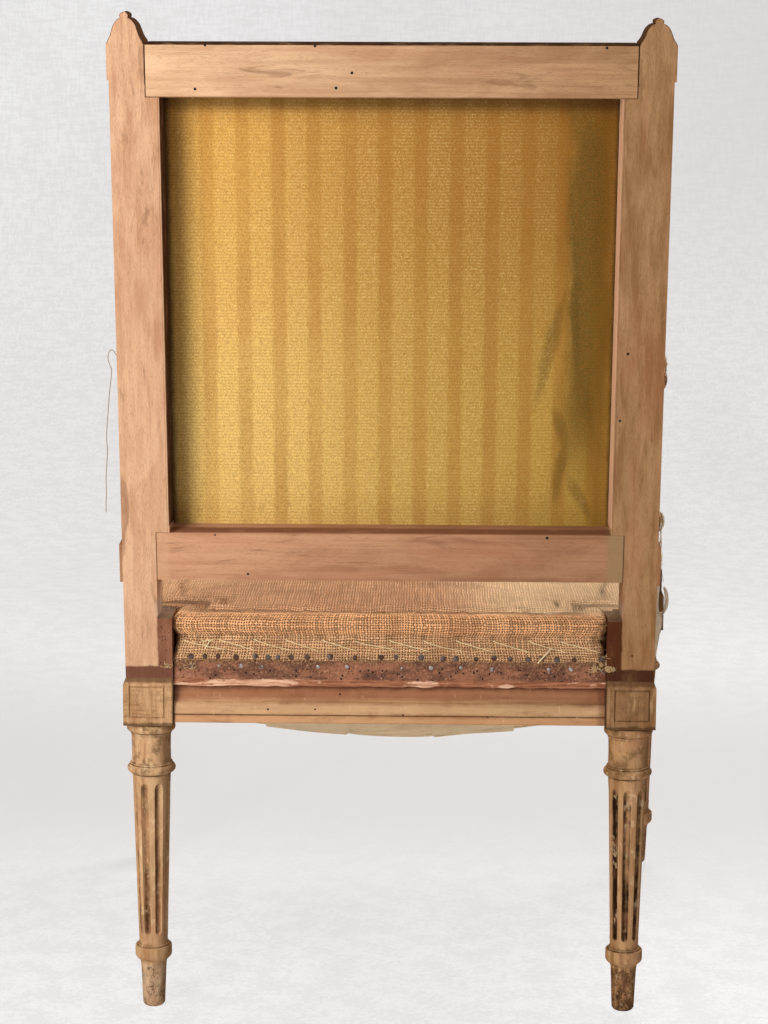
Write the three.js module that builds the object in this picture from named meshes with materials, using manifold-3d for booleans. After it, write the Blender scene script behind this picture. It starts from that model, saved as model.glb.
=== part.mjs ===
// Fauteuil in the neoclassical manner, stripped of its top cover.
// Millimetres, +Z up. The chair faces -Y, and left is the sitter's left, on +X.
import * as THREE from "three";
import { mergeVertices } from "three/addons/utils/BufferGeometryUtils.js";
import Module from "manifold-3d";

const wasm = await Module();
wasm.setup();

// Clearance between pieces that touch, how far a cutter runs past a face, and points this near are one
const fit = 0.3;
const overrun = 4;
const weld = 0.003;

// Where the four legs stand
const plan = { rearSpacing: 497, frontSpacing: 623.4, depthSpacing: 519 };

// Turned leg, from the floor up: foot, foot ring, fluted shaft, astragal, neck and torus
const leg = { height: 308.5, sides: 16 };
const foot = { tipRadius: 9.7, heelRadius: 11.8, topRadius: 13.9, tipHeight: 2.4, height: 49.6 };
const footRing = { radius: 19.2, height: 17.4, chamferHeight: 5.2, lipHeight: 1.2 };
const shaft = { bottomRadius: 14.8, topRadius: 19.9, lowerCollar: 13, upperCollar: 9.5 };
const flute = { count: 8, pitchShare: 0.53, depth: 3.3, endLength: 7 };
const astragal = { radius: 25.2, height: 9.6, filletRadius: 22.6, filletHeight: 1.6 };
const neck = { radius: 20.6, waistRadius: 20.1, height: 30.7 };
const torus = { radius: 25.4, height: 10.4, filletRadius: 21.6, filletHeight: 2.2 };
const fluteTurn = { rearLeft: -9, rearRight: -10, frontLeft: 5, frontRight: -5 };

// Square block where the seat rails meet the legs
const block = { size: 51.3, height: 50.4, chamferHeight: 7, chamferInset: 2.8 };
const panelGroove = {
  outerMargin: 6.3, innerMargin: 8.3, topMargin: 8.6, bottomMargin: 8.6, width: 1.5, depth: 1.3,
};

// Back frame: stiles and rails share one section, bead and rebate on the opening's side
const back = { rake: 6.275, depth: 45, openingHeight: 434.2, tackStripTop: 66.5, lowerGap: 107.7 };
const backRail = { bottomHeight: 49.5, topHeight: 50.8, mitreDepth: 12 };
const moulding = { rebateWidth: 8, rebateDepth: 7.3, beadRadius: 3, fasciaSink: 2, filletWidth: 5 };
const pad = { upperProud: 1.9, lowerProud: 3, upperHeight: 35, lowerHeight: 39.6, lowerDrop: 12.6 };
const finial = { halfWidth: 17.4, leftHeight: 29.4, rightHeight: 24.6, depth: 42 };

// Seat rails
const rail = { height: 73, thickness: 34, lift: 3.2, inset: 3.6 };
const railMoulding = {
  filletHeight: 8, grooveHeight: 1.2, grooveDepth: 1.6, ovoloHeight: 12.5, ovoloDrop: 3.6, stepDepth: 1.2,
  cavettoDepth: 4.6, bandHeight: 34.4, bandInset: 2.6, raspWidth: 4,
};
const tenon = { length: 20, thickness: 12, height: 36 };
const cornerBlock = { reach: 44, height: 32, topDrop: 9 };

// Arms on turned supports, over the front legs
const arm = {
  rearTop: 657, frontTop: 643, width: 31, thickness: 29, rearThickness: 40, edge: 5, rise: 4,
  scrollRadius: 20, scrollWidth: 37, tenonLength: 18, tenonWidth: 13, tenonHeight: 18,
};
const baluster = {
  pinRadius: 8, pinLength: 16, footRadius: 21, footHeight: 9, filletRadius: 16, filletHeight: 4,
  bellyRadius: 17, throatRadius: 12.4, ringRadius: 16.6, ringHeight: 7, capRadius: 18.4, capHeight: 8,
  neckHeight: 12, round: 2.4,
};
const armPad = { length: 262, width: 53, height: 30, startShare: 0.24, sink: 3.5, crown: 5 };

// Seat webbing, springs, spring canvas and stuffing
const webbing = {
  width: 80, gap: 6, thickness: 2, lap: 24, weave: 1.7, sag: 61, skewShare: 0.12, straps: 5,
};
const spring = {
  wire: 1.8, endRadius: 35, waistRadius: 21, curls: 4, spacing: 132, rowSpacing: 138, perRow: 3,
  stepsPerCurl: 8, sides: 5,
};
const canvas = { thickness: 1.4, inset: 14, rise: 7 };
const seat = {
  clearance: 2.4, creaseInset: 3.5, creaseHeight: 18, rollBulge: 3, rollHeight: 40.5, rollWidth: 13,
  gutterWidth: 26, gutterDrop: 3.5, crown: 10,
};

// Inside back stuffing, back webbing and outside back panel
const backWeb = { width: 62, gap: 70, thickness: 1.8, weave: 1.3 };
const backStuffing = { wall: 20, roll: 3, rollWidth: 14, gutterDrop: 3, crown: 9 };
const panel = { thickness: 1.2, bulge: 3, steps: 6 };

// Loose thread at the left arm pad, a route of points from the pad down to its bare end
const threadDiameter = 0.8;
const threadSteps = 48;
const threadRoute = [
  [299.6, -170, 664], [301.4, -170, 672.5], [306, -170, 680], [308.8, -170, 682], [311.5, -170, 679.5],
  [312.7, -170, 673.4], [311.3, -170, 666.9], [309, -170, 661.3], [309.2, -170, 655.3], [310.2, -170, 646.2],
  [311.8, -170, 633.1], [313.1, -170, 618], [314.5, -170, 601.9], [315.5, -170, 585.7], [314.8, -170, 570.6],
  [315.7, -170, 555.5], [316.7, -170, 540.3], [316.5, -170, 525.2], [317.1, -170, 513.1], [317.3, -170, 502],
];

// Finishes seen in the photograph
const beech = new THREE.MeshStandardMaterial({ color: "#c99a72", roughness: 0.62, metalness: 0 });
const beechWorn = new THREE.MeshStandardMaterial({ color: "#b98f66", roughness: 0.6, metalness: 0 });
const hessian = new THREE.MeshStandardMaterial({ color: "#b08a5e", roughness: 0.95, metalness: 0 });
const jute = new THREE.MeshStandardMaterial({ color: "#c9ab82", roughness: 0.92, metalness: 0 });
const velvet = new THREE.MeshStandardMaterial({ color: "#b08a2e", roughness: 0.8, metalness: 0 });
const steel = new THREE.MeshStandardMaterial({ color: "#6d6258", roughness: 0.45, metalness: 0.9 });

// Sizes worked out from the values above
const half = 0.5;
const rearX = plan.rearSpacing * half;
const frontX = plan.frontSpacing * half;
const frontY = -plan.depthSpacing;
const blockHalf = block.size * half;
const blockTop = leg.height + block.height;
const postInset = blockHalf - block.chamferInset;
const railBottom = leg.height + rail.lift;
const railTop = railBottom + rail.height;
const railOut = blockHalf - rail.inset;
const railIn = railOut - rail.thickness;
const stripWidth = moulding.rebateWidth + moulding.beadRadius + moulding.beadRadius;
const stileWidth = block.size - block.chamferInset;
const stileOuter = rearX + postInset;
const stileInner = stileOuter - stileWidth;
const shoulderX = stileInner + stripWidth;
const openingBottom = back.lowerGap + backRail.bottomHeight;
const openingTop = openingBottom + back.openingHeight;
const stileTop = openingTop + backRail.topHeight;
const rebateFloor = moulding.rebateDepth - back.depth * half;
const rake = THREE.MathUtils.degToRad(back.rake);

// Half width, half height and middle height of what lies in the back's rebate
const backReachX = stileInner + moulding.rebateWidth - fit;
const backReachZ = back.openingHeight * half + moulding.rebateWidth - fit;
const backMiddle = openingBottom + back.openingHeight * half;

// Place of the raked back frame: x across, y towards the rear, z up along the stile
const backFrame = new THREE.Matrix4()
  .makeTranslation(0, 0, blockTop)
  .multiply(new THREE.Matrix4().makeRotationX(-rake));

// A closed geometry as a solid that can be joined and cut
function solid(geometry) {
  const bare = new THREE.BufferGeometry();
  const source = geometry.index ? geometry.toNonIndexed() : geometry;
  bare.setAttribute("position", source.getAttribute("position"));
  const merged = mergeVertices(bare, weld);
  const mesh = new wasm.Mesh({
    numProp: 3,
    vertProperties: merged.getAttribute("position").array,
    triVerts: new Uint32Array(merged.index.array),
  });
  return new wasm.Manifold(mesh);
}

// A solid back as a geometry with flat facets
function geometryOf(made) {
  const mesh = made.getMesh();
  const geometry = new THREE.BufferGeometry();
  geometry.setAttribute("position", new THREE.BufferAttribute(new Float32Array(mesh.vertProperties), 3));
  geometry.setIndex(new THREE.BufferAttribute(new Uint32Array(mesh.triVerts), 1));
  return geometry;
}

function boxSolid(low, high) {
  const size = high.map((value, axis) => value - low[axis]);
  const middle = high.map((value, axis) => (value + low[axis]) * half);
  return solid(new THREE.BoxGeometry(...size).translate(...middle));
}

// An outline in a plane, drawn out between two heights along z
function prismSolid(outline, low, high) {
  const shape = new THREE.Shape(outline.map(([x, y]) => new THREE.Vector2(x, y)));
  const geometry = new THREE.ExtrudeGeometry(shape, { depth: high - low, bevelEnabled: false });
  return solid(geometry.translate(0, 0, low));
}

// The same outline read as (y, z) and drawn out along x
function sidePrism(outline, low, high) {
  return prismSolid(outline, low, high).transform([0, 1, 0, 0, 0, 0, 1, 0, 1, 0, 0, 0, 0, 0, 0, 1]);
}

function moved(made, matrix) {
  return made.transform(matrix.elements);
}

function mirrored(made) {
  return made.mirror([1, 0, 0]);
}

// A closed skin over rings of points, with twice or half as many points on the next ring allowed
function loft(rings) {
  const points = rings.flat();
  const faces = [];
  const starts = [];
  let start = 0;
  for (const ring of rings) {
    starts.push(start);
    start += ring.length;
  }
  for (let k = 0; k + 1 < rings.length; k++) {
    const low = rings[k].length;
    const high = rings[k + 1].length;
    const count = Math.min(low, high);
    const a = (i) => starts[k] + (i % low);
    const b = (i) => starts[k + 1] + (i % high);
    for (let i = 0; i < count; i++) {
      if (low === high) {
        faces.push(a(i), a(i + 1), b(i + 1), a(i), b(i + 1), b(i));
      } else if (high > low) {
        faces.push(a(i), b(2 * i + 1), b(2 * i));
        faces.push(a(i), a(i + 1), b(2 * i + 1));
        faces.push(a(i + 1), b(2 * i + 2), b(2 * i + 1));
      } else {
        faces.push(a(2 * i), a(2 * i + 1), b(i));
        faces.push(a(2 * i + 1), b(i + 1), b(i));
        faces.push(a(2 * i + 1), a(2 * i + 2), b(i + 1));
      }
    }
  }
  closeEnd(points, faces, rings[0], starts[0], true);
  closeEnd(points, faces, rings.at(-1), starts.at(-1), false);
  const geometry = new THREE.BufferGeometry().setFromPoints(points);
  geometry.setIndex(faces);
  return geometry;
}

function closeEnd(points, faces, ring, start, down) {
  const middle = new THREE.Vector3();
  for (const point of ring) {
    middle.addScaledVector(point, 1 / ring.length);
  }
  const hub = points.push(middle) - 1;
  for (let i = 0; i < ring.length; i++) {
    const here = start + i;
    const next = start + ((i + 1) % ring.length);
    faces.push(...(down ? [next, here, hub] : [here, next, hub]));
  }
}

// A slab between two grids of points; each cell is split along the same diagonal
function slab(top, bottom) {
  const rows = top.length;
  const columns = top[0].length;
  const points = [...top.flat(), ...bottom.flat()];
  const layer = rows * columns;
  const faces = [];
  const quad = (a, b, c, d) => faces.push(a, b, c, a, c, d);
  const at = (i, j) => i * columns + j;
  for (let i = 0; i + 1 < rows; i++) {
    for (let j = 0; j + 1 < columns; j++) {
      quad(at(i, j), at(i + 1, j), at(i + 1, j + 1), at(i, j + 1));
      faces.push(layer + at(i, j), layer + at(i + 1, j + 1), layer + at(i + 1, j));
      faces.push(layer + at(i, j), layer + at(i, j + 1), layer + at(i + 1, j + 1));
    }
  }
  const steps = (count) => [...Array(count - 1).keys()];
  const rim = [
    ...steps(rows).map((i) => at(i, 0)),
    ...steps(columns).map((j) => at(rows - 1, j)),
    ...steps(rows).map((i) => at(rows - 1 - i, columns - 1)),
    ...steps(columns).map((j) => at(0, columns - 1 - j)),
  ];
  rim.forEach((here, k) => {
    const next = rim[(k + 1) % rim.length];
    quad(here, layer + here, layer + next, next);
  });
  const geometry = new THREE.BufferGeometry().setFromPoints(points);
  geometry.setIndex(faces);
  return geometry;
}

// Rings of the turned pieces
function plainRing(z, radius, turn) {
  const ring = [];
  const step = (2 * Math.PI) / leg.sides;
  for (let i = 0; i < leg.sides; i++) {
    const angle = turn + (i - half) * step;
    ring.push(new THREE.Vector3(radius * Math.cos(angle), radius * Math.sin(angle), z));
  }
  return ring;
}

function flutedRing(z, radius, openShare, turn) {
  const ring = [];
  const pitch = (2 * Math.PI) / flute.count;
  const edge = pitch * flute.pitchShare * half * Math.max(openShare, flute.pitchShare * half);
  const valley = radius - flute.depth * openShare;
  for (let k = 0; k < flute.count; k++) {
    const middle = turn + k * pitch;
    const section = [[-edge, radius], [-edge * half, valley], [edge * half, valley], [edge, radius]];
    for (const [angle, reach] of section) {
      ring.push(new THREE.Vector3(reach * Math.cos(middle + angle), reach * Math.sin(middle + angle), z));
    }
  }
  return ring;
}

function beadRings(z, height, radius, round, turn) {
  return [
    plainRing(z, radius - round, turn),
    plainRing(z + round, radius, turn),
    plainRing(z + height - round, radius, turn),
    plainRing(z + height, radius - round, turn),
  ];
}

// Half-round moulding with a lower and an upper radius where it springs from the turning
const halfRoundShares = [[0, 0], [0.14, 0.62], [0.38, 1], [0.66, 1], [0.9, 0.6], [1, 0]];

function halfRoundRings(z, height, radius, lowRadius, highRadius, turn) {
  return halfRoundShares.map(([share, swell]) => {
    const root = THREE.MathUtils.lerp(lowRadius, highRadius, share);
    return plainRing(z + share * height, THREE.MathUtils.lerp(root, radius, swell), turn);
  });
}

// Flutes with round ends between two heights on a tapered shaft
const fluteEndShares = [[0, 0], [0.3, 0.71], [1, 1]];

function flutedRings(bottom, top, radiusAt, turn) {
  const lower = fluteEndShares.map(([share, open]) => [bottom + share * flute.endLength, open]);
  const upper = fluteEndShares.map(([share, open]) => [top - share * flute.endLength, open]).reverse();
  return [...lower, ...upper].map(([z, open]) => flutedRing(z, radiusAt(z), open, turn));
}

function turnedLeg(turnDegrees) {
  const turn = THREE.MathUtils.degToRad(turnDegrees);
  const shaftBottom = foot.height + footRing.height;
  const torusBottom = leg.height - torus.height;
  const neckTop = torusBottom - torus.filletHeight;
  const neckBottom = neckTop - neck.height;
  const filletBottom = neckBottom - astragal.filletHeight;
  const shaftTop = filletBottom - astragal.height;
  const radiusAt = (z) =>
    THREE.MathUtils.mapLinear(z, shaftBottom, shaftTop, shaft.bottomRadius, shaft.topRadius);
  return solid(loft([
    plainRing(0, foot.tipRadius, turn),
    plainRing(foot.tipHeight, foot.heelRadius, turn),
    plainRing(foot.height, foot.topRadius, turn),
    plainRing(foot.height + footRing.chamferHeight, footRing.radius, turn),
    plainRing(shaftBottom - footRing.lipHeight, footRing.radius, turn),
    plainRing(shaftBottom, footRing.radius - footRing.lipHeight, turn),
    plainRing(shaftBottom + footRing.lipHeight, shaft.bottomRadius, turn),
    ...flutedRings(shaftBottom + shaft.lowerCollar, shaftTop - shaft.upperCollar, radiusAt, turn),
    plainRing(shaftTop, shaft.topRadius, turn),
    ...halfRoundRings(shaftTop, astragal.height, astragal.radius, neck.radius, astragal.filletRadius, turn),
    plainRing(neckBottom, astragal.filletRadius, turn),
    plainRing(neckBottom, neck.radius, turn),
    plainRing(neckBottom + neck.height * half, neck.waistRadius, turn),
    plainRing(neckTop, neck.radius, turn),
    plainRing(neckTop, torus.filletRadius, turn),
    ...halfRoundRings(torusBottom, torus.height, torus.radius, torus.filletRadius, neck.radius, turn),
    plainRing(leg.height + overrun, neck.radius, turn),
  ]));
}

// Block with a chamfered top on all sides but the one that faces the other post
function blockSolid() {
  const square = (size, z, inner) => [
    new THREE.Vector3(-inner, -size, z),
    new THREE.Vector3(size, -size, z),
    new THREE.Vector3(size, size, z),
    new THREE.Vector3(-inner, size, z),
  ];
  const full = blockHalf;
  return solid(loft([
    square(full, leg.height, full),
    square(full, blockTop - block.chamferHeight, full),
    square(postInset, blockTop, full),
  ]));
}

// Incised square on the rear face of the block
function grooveCutter() {
  const g = panelGroove;
  const low = leg.height + g.bottomMargin;
  const high = blockTop - g.topMargin;
  const start = g.innerMargin - blockHalf;
  const end = blockHalf - g.outerMargin;
  const ring = boxSolid([-end, blockHalf - g.depth, low], [-start, blockHalf + overrun, high]);
  const core = boxSolid(
    [g.width - end, blockHalf - g.depth - overrun, low + g.width],
    [-start - g.width, blockHalf + overrun + overrun, high - g.width],
  );
  return ring.subtract(core).mirror([1, 0, 0]);
}

// The two outer faces of a block carry the square; the rear one is drawn, the side one turned from it
function grooved(made, faceTurn) {
  const side = grooveCutter().mirror([1, 0, 0]).rotate([0, 0, -90]);
  const cut = made.subtract(grooveCutter()).subtract(side);
  return faceTurn < 0 ? cut.mirror([0, 1, 0]) : cut;
}

// Section of the back frame: across the member from its outer edge, and through its depth
function frameSection(width) {
  const face = -back.depth * half;
  const bead = moulding.beadRadius;
  const rebateEdge = width - moulding.rebateWidth;
  const beadMiddle = rebateEdge - bead;
  const points = [
    [0, -face],
    [width, -face],
    [width, rebateFloor],
    [rebateEdge, rebateFloor],
  ];
  const beadSteps = 4;
  for (let i = 0; i <= beadSteps; i++) {
    const angle = (Math.PI * i) / beadSteps;
    points.push([beadMiddle + bead * Math.cos(angle), face + bead - bead * Math.sin(angle)]);
  }
  points.push(
    [beadMiddle - bead, face + moulding.fasciaSink],
    [moulding.filletWidth, face + moulding.fasciaSink],
    [moulding.filletWidth, face],
    [0, face],
  );
  return points.filter((point, i) => i === 0 || Math.hypot(
    point[0] - points[i - 1][0], point[1] - points[i - 1][1]) > fit * half);
}

// Three-sided key that leaves the mitre on the stile's side of a corner of the opening
function mitreKey(edge, inward, gap) {
  const front = -back.depth * half - overrun;
  const reach = stripWidth;
  const outline = [
    [stileInner - gap, edge],
    [shoulderX + gap, edge],
    [shoulderX + gap, edge + inward * (reach + gap + gap)],
  ];
  const flat = prismSolid(outline, 0, backRail.mitreDepth + overrun);
  const upright = flat.transform([1, 0, 0, 0, 0, 0, 1, 0, 0, 1, 0, 0, 0, 0, 0, 1]);
  return upright.translate([0, front, 0]);
}

// Space that one back rail takes from the stile, less the mitred front
function railHousing(low, high, edge, inward) {
  const deep = back.depth + pad.lowerProud;
  const space = boxSolid([stileInner - overrun, -deep, low - fit], [shoulderX, deep, high + fit]);
  return space.subtract(mitreKey(edge, inward, 0));
}

function mortise(low, high) {
  return boxSolid(low.map((value) => value - fit), high.map((value) => value + fit));
}

function backTenonBox(low, high) {
  const middle = (low + high) * half;
  const depth = tenon.thickness * half;
  const tall = tenon.height * half;
  return [
    [shoulderX - overrun, -depth, middle - tall],
    [shoulderX + tenon.length, depth, middle + tall],
  ];
}

// Plume finial: a bell with a small ball, sawn flat behind and rounded in front
const finialShares = [
  [1, 0], [0.82, 0.2], [0.7, 0.38], [0.61, 0.56], [0.48, 0.69],
  [0.33, 0.75], [0.28, 0.85], [0.18, 0.96], [0, 1],
];

function finialSolid(height) {
  const middle = (stileOuter + pad.upperProud + shoulderX) * half;
  const right = finialShares.map(([x, z]) => [middle + x * finial.halfWidth, stileTop + z * height]);
  const left = finialShares
    .slice(0, -1)
    .reverse()
    .map(([x, z]) => [middle - x * finial.halfWidth, stileTop + z * height]);
  const under = [
    [middle - finial.halfWidth, stileTop - overrun],
    [middle + finial.halfWidth, stileTop - overrun],
  ];
  const bell = prismSolid([...right, ...left, ...under], 0, finial.depth)
    .transform([1, 0, 0, 0, 0, 0, 1, 0, 0, 1, 0, 0, 0, 0, 0, 1])
    .translate([0, back.depth * half - finial.depth, 0]);
  const rear = back.depth * half;
  const nose = finialShares.map(([y, z]) => [
    rear - finial.depth * half - y * finial.depth * half,
    stileTop + z * height,
  ]);
  const side = [
    [rear, stileTop - overrun],
    [rear, stileTop + height],
    ...nose.reverse(),
    [rear - finial.depth, stileTop - overrun],
  ];
  return bell.intersect(sidePrism(side, shoulderX - overrun, stileOuter + overrun));
}

// Raked stile with its side pads, housings, mortises and finial, for the left post
function stileSolid(finialHeight) {
  const outline = frameSection(stileWidth).map(([across, depth]) => [stileOuter - across, depth]);
  const face = back.depth * half;
  const lowerPadTop = openingBottom - pad.lowerDrop;
  let made = prismSolid(outline, -overrun, stileTop);
  for (const [low, high, proud] of [
    [lowerPadTop - pad.lowerHeight, lowerPadTop, pad.lowerProud],
    [stileTop - pad.upperHeight, stileTop, pad.upperProud],
  ]) {
    made = made.add(boxSolid([shoulderX, -face - proud, low], [stileOuter + proud, face, high]));
  }
  const deep = back.depth + pad.lowerProud;
  const toe = boxSolid([stileInner - overrun, -deep, back.tackStripTop], [shoulderX, deep, back.lowerGap]);
  return made
    .subtract(toe)
    .subtract(railHousing(back.lowerGap, openingBottom, openingBottom, -1))
    .subtract(railHousing(openingTop, stileTop + finialHeight, openingTop, 1))
    .subtract(mortise(...backTenonBox(back.lowerGap, openingBottom)))
    .subtract(mortise(...backTenonBox(openingTop, stileTop)))
    .add(finialSolid(finialHeight));
}

// Middle line of a side rail: x at a given y
function sideRailX(y, offset) {
  return THREE.MathUtils.mapLinear(y, 0, frontY, rearX, frontX) + offset;
}

function railMiddleOut() {
  return (railOut + railIn) * half;
}

function tenonHeights() {
  const middle = leg.height + block.height * half;
  return [middle - tenon.height * half, middle + tenon.height * half];
}

// Tenon boxes around the left rear block and the left front block, in world places
function rearRailTenon() {
  const [low, high] = tenonHeights();
  const y = railMiddleOut();
  const inner = rearX - blockHalf;
  return [
    [inner - fit - overrun, y - tenon.thickness * half, low],
    [inner + tenon.length, y + tenon.thickness * half, high],
  ];
}

function frontRailTenon() {
  const [low, high] = tenonHeights();
  const y = frontY - railMiddleOut();
  const inner = frontX - blockHalf;
  return [
    [inner - fit - overrun, y - tenon.thickness * half, low],
    [inner + tenon.length, y + tenon.thickness * half, high],
  ];
}

function sideRearTenon() {
  const [low, high] = tenonHeights();
  const x = sideRailX(-blockHalf, railMiddleOut());
  return [
    [x - tenon.thickness * half, -blockHalf - fit - overrun, low],
    [x + tenon.thickness * half, -blockHalf + tenon.length, high],
  ];
}

function sideFrontTenon() {
  const [low, high] = tenonHeights();
  const x = sideRailX(frontY + blockHalf, railMiddleOut());
  return [
    [x - tenon.thickness * half, frontY + blockHalf - tenon.length, low],
    [x + tenon.thickness * half, frontY + blockHalf + fit + overrun, high],
  ];
}

// Arm joint on the stile, at the middle of the arm's rear end
function armJoint() {
  const height = arm.rearTop - arm.rearThickness * half;
  const along = (height - blockTop) / Math.cos(rake);
  const face = (moulding.fasciaSink - back.depth * half) * Math.cos(rake) + along * Math.sin(rake);
  return new THREE.Vector3((stileOuter + shoulderX) * half, face, height);
}

function armTenonBox() {
  const joint = armJoint();
  return [
    [joint.x - arm.tenonWidth * half, joint.y - arm.rearThickness * Math.sin(rake) - overrun,
      joint.z - arm.tenonHeight * half],
    [joint.x + arm.tenonWidth * half, joint.y + arm.tenonLength, joint.z + arm.tenonHeight * half],
  ];
}

function rearPost(turnDegrees, finialHeight) {
  const lower = grooved(blockSolid(), 1).add(turnedLeg(turnDegrees)).translate([rearX, 0, 0]);
  return lower
    .add(moved(stileSolid(finialHeight), backFrame))
    .subtract(mortise(...rearRailTenon()))
    .subtract(mortise(...sideRearTenon()))
    .subtract(mortise(...armTenonBox()));
}

function pinSolid(x, y, low, high, radius) {
  const pin = new THREE.CylinderGeometry(radius, radius, high - low, leg.sides);
  pin.rotateX(Math.PI * half).translate(x, y, (low + high) * half);
  return solid(pin);
}

// Front leg: turned leg, block, and the square stub that the rails and the arm support meet
function frontLeg(turnDegrees) {
  const stub = boxSolid([-postInset, -postInset, blockTop - overrun], [postInset, postInset, railTop]);
  return grooved(blockSolid(), -1)
    .add(turnedLeg(turnDegrees))
    .add(stub)
    .translate([frontX, frontY, 0])
    .subtract(mortise(...frontRailTenon()))
    .subtract(mortise(...sideFrontTenon()))
    .subtract(pinSolid(frontX, frontY, railTop - baluster.pinLength - fit, railTop + overrun,
      baluster.pinRadius + fit));
}

// Ovolo and cavetto of the rail, as shares of their depth and of their height
const ovoloShares = [[0.13, 0.25], [0.5, 0.72], [1, 1]];
const cavettoShares = [[0.65, 0.35], [1, 1]];

// Seat rail section: distance out from the legs' axis, and height
function railSection() {
  const m = railMoulding;
  const grooveBottom = railBottom + m.filletHeight;
  const ovoloBottom = grooveBottom + m.grooveHeight;
  const ovoloTop = ovoloBottom + m.ovoloHeight;
  const bandBottom = railTop - m.bandHeight;
  const stepOut = railOut - m.ovoloDrop - m.stepDepth;
  const bandOut = railOut - m.bandInset;
  const hollow = bandBottom - ovoloTop;
  return [
    [railIn, railBottom],
    [railOut, railBottom],
    [railOut, grooveBottom],
    [railOut - m.grooveDepth, grooveBottom],
    [railOut - m.grooveDepth, ovoloBottom],
    ...ovoloShares.map(([out, up]) => [railOut - out * m.ovoloDrop, ovoloBottom + up * m.ovoloHeight]),
    [stepOut, ovoloTop],
    ...cavettoShares.map(([out, up]) => [stepOut - out * m.cavettoDepth, ovoloTop + up * hollow]),
    [bandOut, bandBottom],
    [bandOut, railTop - m.raspWidth],
    [bandOut - m.raspWidth, railTop],
    [railIn, railTop],
  ];
}

// Rail between two ends; each end gives the place of the section's points
function railBetween(start, end) {
  const section = railSection();
  const rings = [start, end].map((place) => section.map(([out, z]) => place(out, z)));
  const middleRing = (ring) => THREE.ShapeUtils.triangulateShape(
    section.map(([out, z]) => new THREE.Vector2(out, z)), []).map((face) => face.map((i) => ring[i]));
  const faces = [];
  middleRing(rings[0]).forEach(([a, b, c]) => faces.push(a, b, c));
  middleRing(rings[1]).forEach(([a, b, c]) => faces.push(a, c, b));
  section.forEach((point, i) => {
    const next = (i + 1) % section.length;
    faces.push(rings[0][next], rings[0][i], rings[1][i]);
    faces.push(rings[0][next], rings[1][i], rings[1][next]);
  });
  const made = solid(new THREE.BufferGeometry().setFromPoints(faces));
  return made.volume() > 0 ? made : solid(new THREE.BufferGeometry().setFromPoints(faces.reverse()));
}

function rearRail() {
  const reach = rearX - blockHalf - fit;
  const made = railBetween(
    (out, z) => new THREE.Vector3(-reach, out, z),
    (out, z) => new THREE.Vector3(reach, out, z),
  );
  const tongue = boxSolid(...rearRailTenon());
  return made.add(tongue).add(mirrored(tongue));
}

function frontRail() {
  const reach = frontX - blockHalf - fit;
  const made = railBetween(
    (out, z) => new THREE.Vector3(reach, frontY - out, z),
    (out, z) => new THREE.Vector3(-reach, frontY - out, z),
  );
  const tongue = boxSolid(...frontRailTenon());
  return made.add(tongue).add(mirrored(tongue));
}

function sideRail() {
  const rearEnd = -blockHalf - fit;
  const frontEnd = frontY + blockHalf + fit;
  const made = railBetween(
    (out, z) => new THREE.Vector3(sideRailX(rearEnd, out), rearEnd, z),
    (out, z) => new THREE.Vector3(sideRailX(frontEnd, out), frontEnd, z),
  );
  return made.add(boxSolid(...sideRearTenon())).add(boxSolid(...sideFrontTenon()));
}

// Corner blocks glued inside the seat frame, notched round the leg blocks
function rearCornerBlock() {
  const top = railTop - cornerBlock.topDrop;
  const innerY = railIn - fit;
  const innerX = (y) => sideRailX(y, railIn - fit);
  const legX = rearX - blockHalf - fit;
  const legY = -blockHalf - fit;
  const farX = legX - cornerBlock.reach;
  const farY = legY - cornerBlock.reach;
  return prismSolid(
    [[farX, innerY], [legX, innerY], [legX, legY], [innerX(legY), legY], [innerX(farY), farY]],
    top - cornerBlock.height,
    top,
  );
}

function frontCornerBlock() {
  const top = railTop - cornerBlock.topDrop;
  const innerY = frontY - railIn + fit;
  const innerX = (y) => sideRailX(y, railIn - fit);
  const legX = frontX - blockHalf - fit;
  const legY = frontY + blockHalf + fit;
  const farX = legX - cornerBlock.reach;
  const farY = legY + cornerBlock.reach;
  return prismSolid(
    [[farX, innerY], [legX, innerY], [legX, legY], [innerX(legY), legY], [innerX(farY), farY]],
    top - cornerBlock.height,
    top,
  );
}

// Back rails in the frame of the back, with mitred fronts and tenons
function backRailSolid(low, high, edge, inward) {
  const width = high - low;
  const outline = frameSection(width).map(([across, depth]) => [
    inward < 0 ? low + across : high - across,
    depth,
  ]);
  const reach = shoulderX - fit;
  const bar = prismSolid(outline, -reach, reach)
    .transform([0, 0, 1, 0, 0, 1, 0, 0, 1, 0, 0, 0, 0, 0, 0, 1]);
  const key = mitreKey(edge, inward, fit);
  const tongue = boxSolid(...backTenonBox(low, high));
  return bar.subtract(key).subtract(mirrored(key)).add(tongue).add(mirrored(tongue));
}

function bottomRail() {
  return backRailSolid(back.lowerGap + fit, openingBottom, openingBottom, -1);
}

function topRail() {
  return backRailSolid(openingTop, stileTop, openingTop, 1);
}

// Arm: a bar splayed from the stile to the front leg, ending in a scroll over the support
const armStations = [
  { share: 0, topShare: 1, thickShare: 1, wideShare: 1 },
  { share: 0.05, topShare: 0.86, thickShare: 0.62, wideShare: 0.92 },
  { share: 0.13, topShare: 0.42, thickShare: 0.14, wideShare: 0.86 },
  { share: 0.24, topShare: 0, thickShare: 0, wideShare: 0.84 },
  { share: 0.78, topShare: 0, thickShare: 0, wideShare: 0.92 },
  { share: 0.9, topShare: 0.12, thickShare: 0, wideShare: 1 },
  { share: 1, topShare: 0, thickShare: 0.1, wideShare: 1.08 },
];

function armPlace(share) {
  const joint = armJoint();
  return new THREE.Vector3(
    THREE.MathUtils.lerp(joint.x, frontX, share),
    THREE.MathUtils.lerp(joint.y, frontY, share),
    0,
  );
}

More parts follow.
